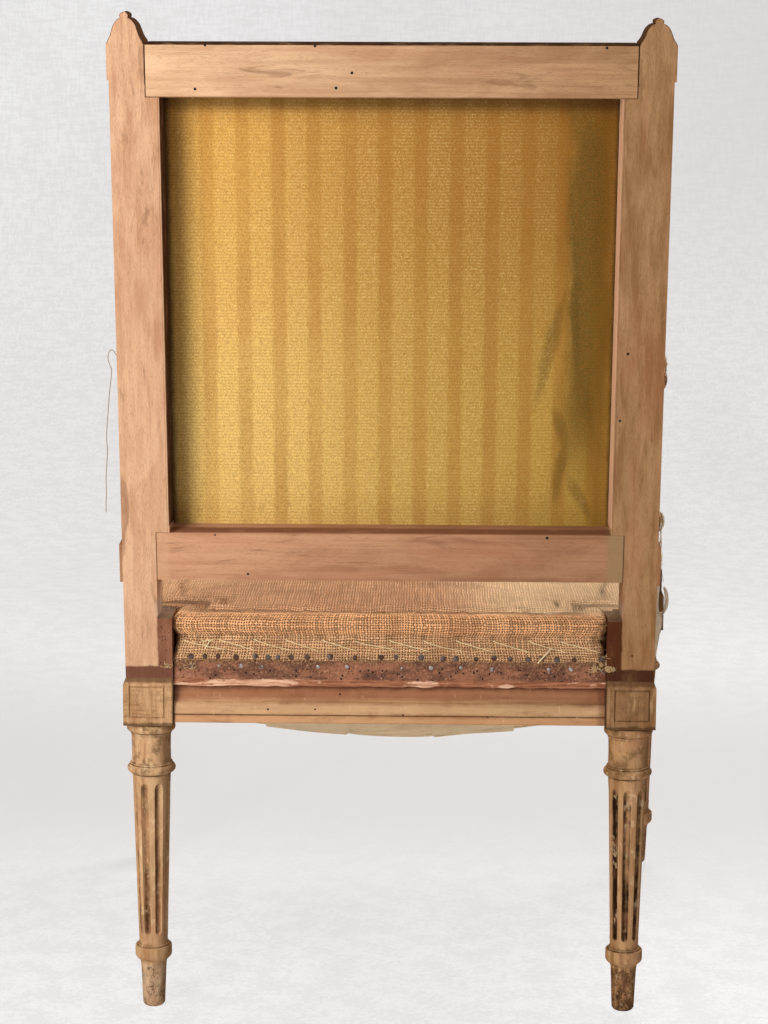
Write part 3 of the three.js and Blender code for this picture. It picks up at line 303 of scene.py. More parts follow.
def scaled(vector, scale, shift=(0, 0, 0)):
    node = newNode("Mapping")
    for title, value in (("Vector", vector), ("Scale", scale), ("Location", shift)):
        setOrWire(value, node.inputs[title])
    return node.outputs[0]


# scale is one number, or three when the noise is drawn out along an axis
def noiseAt(vector, scale, detail=3.0, rough=0.5, distortion=0.0, shift=(0, 0, 0)):
    node = newNode("TexNoise")
    spot = scaled(vector, scale if isinstance(scale, tuple) else (scale,) * 3, shift)
    for title, value in (("Vector", spot), ("Scale", 1), ("Detail", detail), ("Roughness", rough),
                         ("Distortion", distortion)):
        setOrWire(value, node.inputs[title])
    return node.outputs["Fac"]


def axes(vector):
    node = newNode("SeparateXYZ")
    setOrWire(vector, node.inputs[0])
    return node.outputs


def attribute(name):
    return newNode("Attribute", attribute_name=name).outputs["Fac"]


def rgb(r, g, b):
    def linear(v):
        v /= 255
        return v / 12.92 if v <= 0.04045 else ((v + 0.055) / 1.055) ** 2.4
    return (linear(r), linear(g), linear(b), 1.0)


def newMaterial(name):
    material = bpy.data.materials.new(name)
    material.use_nodes = True
    current["tree"] = material.node_tree
    return material, material.node_tree.nodes["Principled BSDF"]


# values and wires for the sockets of the material's shader
def dress(shader, color, normal, values):
    for title, value in {"Base Color": color, "Normal": normal, "Specular IOR Level": 0.35,
                         **values}.items():
        setOrWire(value, shader.inputs[title])


def coordinates(order="xyz", shift=(0, 0, 0)):
    source = newNode("TexCoord").outputs["Object"]
    if order != "xyz":
        join = newNode("CombineXYZ")
        split = axes(source)
        for k, axis in enumerate(order):
            setOrWire(split["xyz".index(axis)], join.inputs[k])
        source = join.outputs[0]
    return scaled(source, (1, 1, 1), shift)


def groupNode(group, **values):
    node = newNode("Group", node_tree=group)
    for title, value in values.items():
        setOrWire(value, node.inputs[title])
    return node


def bumpNode(height, distance, strength=1.0, normal=None):
    node = newNode("Bump")
    values = {"Distance": distance, "Strength": strength, "Height": height, "Normal": normal}
    for title, value in values.items():
        if value is not None:
            setOrWire(value, node.inputs[title])
    return node.outputs[0]


# shared effects

def makeGrainGroup():
    tree, source, sink = newGroup("beech grain", [
        ("Vector", "Vector", None),
        ("Light", "Color", (0.6, 0.4, 0.25, 1)),
        ("Dark", "Color", (0.4, 0.25, 0.14, 1)),
        ("Blush", "Color", (0.5, 0.25, 0.16, 1)),
        ("BlushAmount", "Float", 0.3),
        ("Figure", "Float", 0.3),
        ("Smudge", "Color", (0.2, 0.1, 0.06, 1)),
    ], [("Color", "Color"), ("Height", "Float")])
    vector = source["Vector"]
    broad = noiseAt(vector, (9, 9, 1.6), 3)
    streak = noiseAt(vector, (150, 150, 4), 4, 0.6, 0.3)
    fine = noiseAt(vector, (900, 900, 22), 2, 0.6)
    fleck = noiseAt(vector, (1500, 1500, 190), 1, 0.5)
    wave = newNode("TexWave")
    for title, value in (("Vector", scaled(vector, (16, 16, 1.3))), ("Scale", 2.2), ("Distortion", 5),
                         ("Detail", 2), ("Detail Scale", 0.8)):
        setOrWire(value, wave.inputs[title])
    patchy = noiseAt(vector, (34, 34, 11), 4, 0.6, 0.6, shift=(5, 2, 1))
    tone = timesPlus(mapRange(broad, 0.35, 0.65), 0.32, 0.0)
    tone = timesPlus(mapRange(patchy, 0.38, 0.66), 0.46, tone)
    tone = timesPlus(mapRange(streak, 0.42, 0.66), 0.4, tone)
    tone = timesPlus(mapRange(fine, 0.4, 0.7), 0.2, tone)
    figure = times(wave.outputs["Fac"], source["Figure"])
    tone = plus(tone, figure, clamp=True)
    color = mixColor(tone, source["Light"], source["Dark"])
    blushNoise = noiseAt(vector, (26, 26, 4.5), 4, 0.6, 0.5, shift=(3, 1, 7))
    blush = times(mapRange(blushNoise, 0.5, 0.72), source["BlushAmount"])
    color = mixColor(blush, color, source["Blush"])
    dash = mapRange(fleck, 0.6, 0.72)
    color = mixColor(times(dash, 0.45), color, source["Dark"])
    smudge = noiseAt(vector, (75, 75, 14), 5, 0.65, 0.8, shift=(8, 4, 2))
    smudged = times(mapRange(smudge, 0.58, 0.7), 0.5)
    color = mixColor(smudged, color, source["Smudge"])
    setOrWire(color, sink["Color"])
    height = timesPlus(dash, -0.8, times(fine, 0.5))
    height = timesPlus(streak, 0.6, height)
    setOrWire(height, sink["Height"])
    return tree


# darkens by the dirt attribute, which holds real dirt and painted shade in hollows and on shaded sides
def makeDirtGroup():
    tree, source, sink = newGroup("old dirt and painted shade", [
        ("Vector", "Vector", None),
        ("Color", "Color", (0.5, 0.5, 0.5, 1)),
        ("Dirt", "Color", (0.1, 0.06, 0.03, 1)),
        ("Mask", "Float", 0.0),
        ("Breakup", "Float", 0.5),
    ], [("Color", "Color")])
    vector = source["Vector"]
    patches = noiseAt(vector, (90, 90, 60), 5, 0.65)
    spread = minus(patches, 0.5)
    edge = timesPlus(spread, source["Breakup"], source["Mask"])
    inside = times(source["Mask"], 3.0, clamp=True)
    mask = times(mapRange(edge, 0.18, 0.8), inside)
    setOrWire(mixColor(mask, source["Color"], source["Dirt"]), sink["Color"])
    return tree


def makeWeaveGroup():
    tree, source, sink = newGroup("plain weave", [
        ("Vector", "Vector", None),
        ("Threads", "Float", 800.0),
        ("Light", "Color", (0.5, 0.35, 0.2, 1)),
        ("Dark", "Color", (0.25, 0.15, 0.08, 1)),
        ("Open", "Float", 0.35),
        ("Wander", "Float", 0.0008),
    ], [("Color", "Color"), ("Height", "Float")])
    vector = source["Vector"]
    drift = newNode("TexNoise")
    for title, value in (("Vector", vector), ("Scale", 55), ("Detail", 3)):
        setOrWire(value, drift.inputs[title])
    centred = vectorMath("SUBTRACT", drift.outputs["Color"], (0.5, 0.5, 0.5))
    pushed = vectorMath("MULTIPLY_ADD", centred, source["Wander"], vector)
    counted = newNode("VectorMath", operation="SCALE")
    setOrWire(pushed, counted.inputs[0])
    setOrWire(source["Threads"], counted.inputs["Scale"])
    split = axes(counted.outputs[0])
    waves = [mathNode("SINE", times(split[axis], math.pi)) for axis in (0, 1)]
    cross = times(waves[0], waves[1])
    round0 = mathNode("ABSOLUTE", waves[0])
    round1 = mathNode("ABSOLUTE", waves[1])
    over = timesPlus(cross, 0.45, 0.62)
    under = timesPlus(cross, -0.45, 0.62)
    height = mathNode("MAXIMUM", times(round0, over), times(round1, under))
    warp = noiseAt(counted.outputs[0], (1.1, 0.045, 0.4), 1)
    weft = noiseAt(counted.outputs[0], (0.045, 1.1, 0.4), 1, shift=(9, 4, 2))
    which = mapRange(cross, -0.3, 0.3)
    slub = plus(times(which, warp), times(minus(1.0, which), weft))
    solid = mapRange(height, times(source["Open"], 0.5), source["Open"])
    tone = times(solid, mapRange(slub, 0.3, 0.7, 0.45, 1.15))
    setOrWire(mixColor(tone, source["Dark"], source["Light"]), sink["Color"])
    setOrWire(height, sink["Height"])
    return tree


# painted light falloff: colours that run from the lit left to the shaded right
def makeFalloffGroup():
    tree, source, sink = newGroup("painted light falloff left to right", [
        ("Vector", "Vector", None),
        ("Left", "Color", (0.6, 0.4, 0.3, 1)),
        ("Right", "Color", (0.4, 0.25, 0.15, 1)),
        ("Reach", "Float", 0.28),
    ], [("Color", "Color")])
    split = axes(source["Vector"])
    share = mathNode("DIVIDE", split[0], source["Reach"])
    mask = mapRange(share, -1.0, 1.0, smooth=False)
    setOrWire(mixColor(mask, source["Right"], source["Left"]), sink["Color"])
    return tree


grainGroup = makeGrainGroup()
dirtAndShadeGroup = makeDirtGroup()
weaveGroup = makeWeaveGroup()
paintedFalloffGroup = makeFalloffGroup()


# stripped beech; its colour is painted lighter and pinker on the left and browner on the right, a painted
# light falloff from the lit side
woodColors = {
    "light": (rgb(214, 172, 138), rgb(178, 137, 98)),
    "dark": (rgb(184, 138, 106), rgb(138, 98, 62)),
    "blush": rgb(166, 106, 78),
    "smudge": rgb(122, 82, 60),
    "patinaAndShade": rgb(62, 40, 24),
}


# light and dark are pairs of colors, for the left and the right of the chair, which paint the light's falloff
def woodMaterial(name, grain, light=woodColors["light"], dark=woodColors["dark"], blush=0.35, figure=0.14,
                 shift=(0, 0, 0), zones=(), patinaAndShade=woodColors["patinaAndShade"], breakup=0.6):
    material, shader = newMaterial(name)
    plain = coordinates()
    # the tones run from left to right as painted light falloff
    tones = [groupNode(paintedFalloffGroup, Vector=plain, Left=left, Right=right).outputs[0]
             for left, right in (light, dark)]
    wood = groupNode(grainGroup, Vector=coordinates(grain, shift), Light=tones[0], Dark=tones[1],
                     Blush=woodColors["blush"], BlushAmount=blush, Figure=figure,
                     Smudge=woodColors["smudge"])
    stainedAndShaded = groupNode(dirtAndShadeGroup, Vector=plain, Color=wood.outputs["Color"], Dirt=patinaAndShade,
                        Mask=attribute("dirtAndShade"), Breakup=breakup)
    color = stainedAndShaded.outputs["Color"]
    for zone in zones:
        color = zone(plain, color)
    dress(shader, color, bumpNode(wood.outputs["Height"], 0.0003, 0.8),
          {"Roughness": 0.62, "Specular IOR Level": 0.0})
    return material


# a zone between limits along the axes, its border broken by noise
def boxZone(limits, color, strength, soft, wobble):
    def paint(vector, under):
        split = axes(vector)
        push = timesPlus(noiseAt(vector, 60, 4, 0.6), wobble, -wobble / 2)
        mask = None
        for axis, (low, high) in enumerate(limits):
            if low is None and high is None:
                continue
            value = plus(split[axis], push)
            for limit, ends in ((low, (0.0, 1.0)), (high, (1.0, 0.0))):
                if limit is not None:
                    edge = mapRange(value, limit - soft, limit + soft, *ends)
                    mask = edge if mask is None else times(mask, edge)
        grime = noiseAt(vector, (45, 45, 18), 4, 0.65)
        mask = times(mask, mapRange(grime, 0.25, 0.55, 0.72, 1.0))
        return mixColor(times(mask, strength), under, color)
    return paint


# turned legs, in millimetres

legShape = {
    "flutes": 8, "fluteShare": 0.63, "fluteDepth": 3.5, "fluteBottom": 80.0, "fluteTop": 244.5,
    "fluteEnd": 4.6,
    "shaftLow": (67, 14.9), "shaftHigh": (254, 19.8), "fineStep": 0.55, "fineReach": 5.5, "step": 4.5,
    "across": [-1, -0.96, -0.86, -0.7, -0.5, -0.27, 0, 0.27, 0.5, 0.7, 0.86, 0.96, 1],
    "lands": [0.25, 0.5, 0.75], "landDirt": 0.06, "footTop": 50,
}
legProfile = [  # height, radius, dirt with painted shade in the hollows of the turning
    (0, 9.3, .9), (0.5, 10.1, .9), (1.6, 11.0, .7), (2.6, 11.6, .5), (8, 11.9, .55), (16, 12.2, .6),
    (26, 12.6, .6), (36, 13.0, .5), (44, 13.4, .35), (48.5, 13.9, .35), (50.4, 14.8, .3), (51.9, 16.4, .25),
    (53.4, 18.0, .15), (54.9, 19.0, .05), (56.5, 19.3, 0), (61, 19.3, 0), (65.4, 19.25, 0), (66.2, 18.9, .1),
    (66.7, 18.2, .4), (66.9, 17.4, .7), (67.6, 17.2, .5), (68.4, 16.6, .4), (69.0, 15.6, .5),
    (70.4, 15.0, .35), (73, 14.95, .2), (77, 15.1, .12),
]
shaftTopProfile = [
    (247, 19.7, .1), (250.5, 19.9, .15), (252.6, 20.1, .3), (253.6, 20.3, .7), (253.9, 20.8, .6),
    (254.5, 22.0, .3), (255.4, 23.6, .1), (256.8, 24.8, 0), (258.5, 25.2, 0), (260.2, 25.0, 0),
    (261.6, 24.2, 0), (262.7, 23.1, .1), (263.4, 22.5, .5), (263.6, 21.8, .8), (264.2, 22.2, .3),
    (264.9, 22.1, .15), (265.3, 21.5, .4), (265.7, 20.8, .45), (267, 20.5, .2), (272, 20.3, .08),
    (280, 20.15, .05), (288, 20.3, .05), (293.5, 20.5, .1), (295.2, 20.7, .3), (295.8, 21.3, .4),
    (296.6, 21.5, .15), (297.6, 21.6, .2), (298.0, 21.9, .8), (298.5, 22.6, .5), (299.4, 23.9, .15),
    (300.8, 25.0, 0), (302.6, 25.4, 0), (304.2, 25.3, 0), (305.8, 24.6, .05), (307.1, 23.3, .35),
    (307.9, 22.0, .8), (308.3, 20.9, 1),
]


# the three flute values give the stain in a flute, its slope, which paints shade on the wall turned from the
# light, and its bend across the flute
def addLeg(bm, middleX, middleY, turnDegrees, worn=1.0, slot=0, drop=0.0, fluteStainAndShade=(0.5, 0.0, 0.0)):
    s = legShape
    pitch = 2 * math.pi / s["flutes"]
    fullHalf = pitch * s["fluteShare"] / 2
    turn = math.radians(turnDegrees)
    (lowZ, lowRadius), (highZ, highRadius) = s["shaftLow"], s["shaftHigh"]
    stations = [(z, r, d, 0.0) for z, r, d in legProfile]
    z = s["fluteBottom"] - 0.4
    while z < s["fluteTop"] + 0.4:
        nearEnd = min(z - s["fluteBottom"], s["fluteTop"] - z)
        reach = min(max(nearEnd / s["fluteEnd"], 0), 1)
        radius = lerp(lowRadius, highRadius, (z - lowZ) / (highZ - lowZ))
        stations.append((z - drop, radius, 0.1, math.sqrt(1 - (1 - reach) ** 2)))
        z += s["fineStep"] if nearEnd < s["fineReach"] else s["step"]
    stations += [(z, r, d, 0.0) for z, r, d in shaftTopProfile]
    rings = []
    for z, radius, dirtAndShade, opened in stations:
        ring = []
        plainDirt = dirtAndShade if opened == 0 else s["landDirt"]
        edge = fullHalf * max(opened, 0.3)
        for k in range(s["flutes"]):
            centre = turn + k * pitch
            seed = noise.noise(Vector((k * 7.3 + middleX * 31, middleY * 17, 1.7)))
            for share in s["across"]:
                depth = s["fluteDepth"] * opened * math.sqrt(max(0, 1 - share * share))
                wall = fluteStainAndShade[0] + fluteStainAndShade[1] * share + fluteStainAndShade[2] * share * share + 0.3 * seed
                low = 0.25 * ramp(200 - z, 0, 120)
                # the stain holds the flute's dirt and painted shade on its wall away from the light
                stain = (wall + low) * opened * (1 - abs(share) ** 6) * worn
                ring.append((centre + share * edge, radius - depth, max(stain, plainDirt)))
            for share in s["lands"]:
                ring.append((lerp(centre + edge, centre + pitch - edge, share), radius, plainDirt))
        points = []
        for angle, reach, stain in ring:
            x, y = math.cos(angle), math.sin(angle)
            wobble = 1 + 0.006 * noise.noise(Vector((x * 2, y * 2, z * 0.03)) + Vector((middleX * 50, 0, 0)))
            if z < s["footTop"]:
                pit = noise.noise(Vector((x * 3.1, y * 3.1, z * 0.22 + middleX * 90)))
                stain = stain * (0.65 + 0.9 * pit)
                reach -= max(0, pit - 0.25) * 0.7
            points.append((Vector((
                middleX + reach * wobble * x * mm,
                middleY + reach * wobble * y * mm,
                z * mm,
            )), stain))
        rings.append(points)
    addRings(bm, rings, slot=slot)


# finials, in millimetres in the plane of the back

finialShape = {
    "middle": 255.05, "halfWidth": 17.6, "base": 642.2, "rear": 22.5, "depth": 42.0, "edge": 0.8,
    "sunk": 0.6,
    # painted shade on the sides and nose: the side towards the middle, then the outer side
    "dirtAndShade": (0.95, 0.5),
    "outline": [(0, 1.0), (.06, .97), (.14, .885), (.25, .80), (.37, .735), (.48, .68), (.57, .625),
                (.65, .545), (.71, .465), (.755, .385), (.785, .3), (.80, .235), (.815, .225), (.83, .245),
                (.87, .255), (.91, .24), (.945, .2), (.975, .135), (.993, .07), (1, .02)],
}


def backFrame():
    return Matrix.Translation((0, rearAxisY, blockTop)) @ Matrix.Rotation(-rake, 4, "X")


def addFinial(bm, side, height):
    s = finialShape
    toWorld = backFrame()
    rings = []
    for up, wide in s["outline"]:
        z = s["base"] + up * height - (s["sunk"] if up == 0 else 0)
        halfX = max(s["halfWidth"] * wide, 0.5)
        nose = s["rear"] - s["depth"] * (0.5 + 0.5 * wide)
        edge = min(s["edge"], halfX * 0.5)
        corners = [
            (-halfX, s["rear"] - edge), (-halfX + edge, s["rear"]), (halfX - edge, s["rear"]),
            (halfX, s["rear"] - edge), (halfX, nose + edge), (halfX - edge, nose), (-halfX + edge, nose),
            (-halfX, nose + edge),
        ]
        ring = []
        for k, (x, y) in enumerate(corners):
            x2, y2 = corners[(k + 1) % 8]
            steps = 5 if k % 2 else 1
            for t in range(steps):
                x3, y3 = lerp(x, x2, t / steps), lerp(y, y2, t / steps)
                # the sides and nose take dark wood and painted shade, deepest on the inner side; the rear
                # face stays clean
                stain = 0.0 if y3 > s["rear"] - 0.4 else s["dirtAndShade"][x3 >= 0]
                ring.append((toWorld @ Vector((side * (s["middle"] + x3) * mm, y3 * mm, z * mm)), stain))
        rings.append(ring)
    addRings(bm, rings)


print("mesh helpers and shared effects ready")


# loose thread at the left arm pad

threadShape = {
    "y": 0.056614, "diameter": 0.0008,
    "route": [
        (299.6, 664), (301.4, 672.5), (306, 680), (308.8, 682), (311.5, 679.5), (312.7, 673.4),
        (311.3, 666.9),
        (309, 661.3), (309.2, 655.3), (310.2, 646.2), (311.8, 633.1), (313.1, 618), (314.5, 601.9),
        (315.5, 585.7),
        (314.8, 570.6), (315.7, 555.5), (316.7, 540.3), (316.5, 525.2), (317.1, 513.1), (317.3, 502),
    ],
}


def makeThread():
    s = threadShape
    points = smoothCurve([(x * mm, s["y"], z * mm) for x, z in s["route"]], 120)
    curve = bpy.data.curves.new("hanging_thread", "CURVE")
    curve.dimensions = "3D"
    spline = curve.splines.new("POLY")
    spline.points.add(len(points) - 1)
    for spot, point in zip(spline.points, points):
        spot.co = (*point, 1)
    curve.bevel_depth = s["diameter"] / 2
    curve.bevel_resolution = 2
    curve.use_fill_caps = True
    material, shader = newMaterial("loose thread")
    twist = noiseAt(coordinates(), (900, 900, 500), 3, 0.6)
    dress(shader, mixColor(twist, rgb(104, 82, 62), rgb(168, 144, 116)), bumpNode(twist, 0.0002, 0.5),
          {"Roughness": 0.9})
    curve.materials.append(material)
    piece = addObject("hanging_thread", curve)
    place(piece, ["loose_thread"])


makeThread()


# rear posts: the stile, block and pads as they are, with a finer leg and finial

# from the middle outwards, up, color on the left and right post, strength, softness, wobble
postMarksAndShade = [
    ((0.2246, 0.2251), (0.36, None), rgb(112, 66, 44), rgb(112, 66, 44), 0.6, 0.0004, 0.0008),
    # inner faces of the stiles: painted shade on the left post, painted light on the right
    ((0.2200, 0.2234), (0.52, 0.99), rgb(70, 44, 24), rgb(206, 160, 128), 0.95, 0.0002, 0.0003),
    ((0.2366, 0.2373), (0.956, 0.9952), rgb(60, 38, 24), rgb(60, 38, 24), 0.9, 0.0003, 0.0004),
    ((0.2200, 0.2376), (0.36, 0.4245), rgb(124, 80, 60), rgb(84, 46, 28), 1.0, 0.0010, 0.003),
    ((0.2200, 0.2376), (0.4255, 0.440), rgb(150, 134, 120), rgb(150, 134, 120), 0.75, 0.003, 0.006),
    ((0.2712, 0.28), (0.452, 0.53), rgb(150, 104, 72), rgb(150, 104, 72), 0.8, 0.0008, 0.002),
    (None, (0.355, 0.3715), rgb(112, 72, 56), rgb(74, 44, 30), 1.0, 0.0012, 0.005),
]


def postZones(side):
    zones = []
    for across, up, left, right, strength, soft, wobble in postMarksAndShade:
        if across and side < 0:
            across = (-across[1], -across[0])
        zones.append(boxZone((across or anywhere, anywhere, up), left if side > 0 else right,
                             strength, soft, wobble))
    return zones


# painted shade on faces between two heights that look up, and sideways where asked
def shadedFaces(low, high, color, strength, sideways):
    def paint(vector, under):
        up = axes(vector)[2]
        facing = axes(newNode("NewGeometry").outputs["Normal"])
        turned = mapRange(facing[2], 0.3, 0.55)
        if sideways:
            turned = mathNode("MAXIMUM", turned, mapRange(mathNode("ABSOLUTE", facing[0]), 0.45, 0.7))
        within = times(mapRange(up, low - 0.002, low + 0.002),
                       mapRange(up, high - 0.002, high + 0.002, 1.0, 0.0))
        grime = noiseAt(vector, 150, 4, 0.65, shift=(3, 3, 3))
        mask = times(times(turned, within), mapRange(grime, 0.3, 0.55, 0.6 * strength, strength))
        return mixColor(mask, under, color)
    return paint


postWood = {}
for side, title in ((1, "left"), (-1, "right")):
    # painted shade on the finials' sides and tops, and on upward faces by the seat
    edges = [shadedFaces(0.985, 1.1, rgb(84, 56, 36), 0.85, True),
             shadedFaces(0.40, 0.45, rgb(116, 94, 74), 0.9, False)]
    postWood[title] = woodMaterial(f"beech post {title}", "xyz", blush=0.4 if side > 0 else 0.3, figure=0.1,
                                   shift=(0.31 * side, 0.2, 0.1), zones=postZones(side) + edges,
                                   patinaAndShade=rgb(74, 56, 42))


# specks, rubbed corners, greasy turnings and painted shade on the side away from the light
def legWearAndShade(footAmount):
    def paint(vector, under):
        height = axes(vector)[2]
        # the foot: pale wood showing between brown and black specks
        spots = noiseAt(vector, (520, 520, 330), 4, 0.7)
        blots = noiseAt(vector, (130, 130, 60), 3, 0.6, shift=(2, 7, 1))
        foot = mapRange(timesPlus(blots, 0.012, height), 0.050, 0.057, 1.0, 0.0)
        brown = times(foot, mapRange(blots, 0.38, 0.6, 0.15, 0.85))
        color = mixColor(times(foot, 0.6 - 0.6 * footAmount), under, rgb(226, 194, 160))
        color = mixColor(times(brown, 0.3 + 0.5 * footAmount), color, rgb(126, 90, 60))
        gate = timesPlus(blots, 0.55, spots)
        speck = times(foot, mapRange(gate, 0.84 - footAmount * 0.1, 0.9 - footAmount * 0.1))
        color = mixColor(times(speck, 0.72), color, rgb(62, 42, 30))
        # greasy dark on the neck and ring
        smear = noiseAt(vector, (48, 48, 60), 5, 0.65, shift=(4, 4, 9))
        upper = times(mapRange(height, 0.250, 0.262), mapRange(smear, 0.46, 0.62))
        color = mixColor(times(upper, 0.7), color, rgb(104, 76, 46))
        # worn pale on the standing edges, and painted shade on the side turned from the light
        rub = noiseAt(vector, (130, 130, 70), 4, 0.65, shift=(3, 8, 5))
        color = mixColor(mapRange(rub, 0.56, 0.68, 0.0, 0.45), color, rgb(238, 206, 164))
        facing = axes(newNode("NewGeometry").outputs["Normal"])
        shadedSide = mapRange(times(facing[0], -1.0), 0.25, 0.95, 0.0, 0.55)
        color = mixColor(shadedSide, color, rgb(92, 62, 36))
        # reddish wash here and there
        wash = noiseAt(vector, (40, 40, 22), 3, 0.6, shift=(9, 1, 3))
        return mixColor(mapRange(wash, 0.52, 0.7, 0.0, 0.35), color, rgb(174, 120, 88))
    return paint


legLooks = {
    "left": {"light": (rgb(216, 178, 136), rgb(206, 164, 124)),
             "dark": (rgb(168, 126, 86), rgb(152, 110, 74)),
             "blush": 0.3, "shift": (0.1, 0.4, 0.3), "breakup": 1.1, "patinaAndShade": rgb(86, 55, 34),
             "zones": [legWearAndShade(0.2)]},
    "right": {"light": (rgb(209, 167, 124), rgb(198, 155, 112)),
              "dark": (rgb(160, 118, 78), rgb(146, 106, 68)),
              "blush": 0.25, "shift": (0.4, 0.3, 0.1), "breakup": 1.1, "patinaAndShade": rgb(42, 27, 15),
              "zones": [legWearAndShade(1.0)]},
    "front": {"light": (rgb(204, 162, 120), rgb(196, 152, 112)),
              "dark": (rgb(160, 118, 78), rgb(150, 108, 72)),
              "blush": 0.3, "shift": (0.2, 0.9, 0.5), "breakup": 1.0, "zones": [legWearAndShade(0.7)]},
}
legWoods = {title: woodMaterial(f"beech leg {title}", "xyz", figure=0.08, **looks)
            for title, looks in legLooks.items()}


def blockStain(vector, under):
    split = axes(vector)
    smear = noiseAt(vector, (75, 75, 90), 5, 0.65, shift=(1, 5, 3))
    rim = mapRange(timesPlus(smear, 0.006, split[2]), 0.3555, 0.3585)
    color = mixColor(times(mapRange(smear, 0.46, 0.68), 0.5), under, rgb(104, 74, 46))
    streaks = noiseAt(vector, (60, 60, 420), 4, 0.65, shift=(1, 2, 3))
    color = mixColor(mapRange(streaks, 0.54, 0.64, 0.0, 0.5), color, rgb(122, 84, 54))
    pale = noiseAt(vector, (110, 110, 30), 3, 0.6, shift=(8, 2, 3))
    color = mixColor(mapRange(pale, 0.5, 0.66, 0.0, 0.3), color, rgb(222, 182, 136))
    low = timesPlus(smear, -0.006, split[2])
    color = mixColor(mapRange(low, 0.3075, 0.3100, 0.7, 0.0), color, rgb(66, 44, 28))
    near = mathNode("ABSOLUTE", split[0])
    color = mixColor(mapRange(near, 0.2232, 0.2244, 0.7, 0.0), color, rgb(60, 38, 24))
    return mixColor(times(rim, 0.75), color, rgb(92, 62, 44))


blockWood = woodMaterial(
    "beech block", "xyz", light=(rgb(204, 164, 122), rgb(164, 126, 88)),
    dark=(rgb(160, 118, 80), rgb(126, 90, 58)), blush=0.2, figure=0.06, shift=(0.7, 0.1, 0.2),
    zones=[blockStain])


def cutNode(name, cuts):
    bm = copyOfNode(name)
    dirtAndShadeLayer(bm)
    for spot, direction in cuts:
        geometry = bm.verts[:] + bm.edges[:] + bm.faces[:]
        done = bmesh.ops.bisect_plane(bm, geom=geometry, plane_co=spot, plane_no=direction, clear_outer=True,
                                      dist=1e-6)
        rim = [e for e in done["geom_cut"] if isinstance(e, bmesh.types.BMEdge)]
        bmesh.ops.edgeloop_fill(bm, edges=rim)
    return bm


legCut = (Vector((0, 0, legTop)), Vector((0, 0, -1)))
postShapes = {
    "left": {"side": 1, "turn": -16, "finial": 29.4, "leg": {"worn": 0.85, "fluteStainAndShade": (0.42, -0.28, 0.1)}},
    "right": {"side": -1, "turn": -2.5, "finial": 24.6,
              "leg": {"worn": 1.3, "drop": 2.5, "fluteStainAndShade": (0.3, -0.12, 0.42)}},
}


def makePost(title, shape):
    toWorld = backFrame()
    name = f"rear_post_{title}"
    finialCut = (toWorld @ Vector((0, 0, 0.6418)), toWorld.to_3x3() @ Vector((0, 0, 1)))
    bm = cutNode(name, [legCut, finialCut])
    for face in bm.faces:
        face.material_index = 0 if face.calc_center_median().z > 0.3585 else 2
    addLeg(bm, shape["side"] * plan["rearX"], rearAxisY, shape["turn"], slot=1, **shape["leg"])
    addFinial(bm, shape["side"], shape["finial"])
    piece = newObject(f"{name}_turned", bm, [postWood[title], legWoods[title], blockWood], 30)
    place(piece, [name])


for title, shape in postShapes.items():
    makePost(title, shape)


def makeFrontLeg(title, side, turn):
    name = f"front_leg_{title}"
    bm = cutNode(name, [legCut])
    for face in bm.faces:
        face.material_index = 1
    addLeg(bm, side * plan["frontX"], plan["frontY"], turn)
    piece = newObject(f"{name}_turned", bm, [legWoods["front"], blockWood], 30)
    place(piece, [name])


makeFrontLeg("left", 1, 5)
makeFrontLeg("right", -1, 175)
print("posts and legs done")


# seat rails

railSection = [  # out from the legs' axis, height, dirt with painted shade in the groove and under the band, torn
    (-11.95, 311.7, .2, 0), (5, 311.7, .3, 0), (21.2, 311.7, .3, 0), (22.05, 312.5, .15, 0),
    (22.05, 316, .08, 0), (22.05, 319.0, .1, 0), (21.8, 319.7, .3, 0), (20.9, 319.9, .75, 0),
    (20.9, 320.6, .75, 0), (21.7, 320.9, .3, 0), (21.95, 322.6, .08, 0), (21.8, 326, .04, 0),
    (21.3, 329.2, .04, 0), (20.3, 331.8, .06, 0), (19.0, 333.2, .14, 0), (17.9, 333.6, .3, 0),
    (17.3, 334.1, .2, 0), (16.3, 335.6, .1, 0), (15.3, 338.2, .12, 0), (14.5, 341.5, .2, 0),
    (13.8, 345, .38, 0), (13.1, 348.2, .7, 0), (12.9, 350.1, 1, 0), (17.5, 350.2, 1, .2),
    (19.2, 350.4, .4, 1),
    (19.5, 351.4, 0, 1), (19.5, 352.8, 0, 1), (19.5, 354.2, 0, 1), (19.5, 355.6, .05, .9),
    (19.45, 357.4, .3, .35), (19.45, 362, .3, 0), (19.45, 368, .25, 0), (19.45, 374, .3, 0),
    (19.45, 380, .45, 0), (18.3, 382, .5, 0), (15.45, 384.7, .5, 0), (2, 384.7, .3, 0),
    (-11.95, 384.7, .3, 0),
    (-11.95, 350, .1, 0),
]
railShape = {"step": 2.6, "chip": 1.5, "bandHeights": (350, 381), "mouldingHeights": (321, 333),
             "gap": 0.0003}
railTonesAndShading = [  # low, high, strength, color: painted shade in the cove under the band, a painted highlight on the ovolo, and a paler bottom fillet
    (0.3385, 0.3525, 0.62, rgb(152, 98, 72)), (0.3235, 0.3345, 0.4, rgb(222, 184, 140)),
    (0.3090, 0.3215, 0.5, rgb(214, 162, 118)),
]


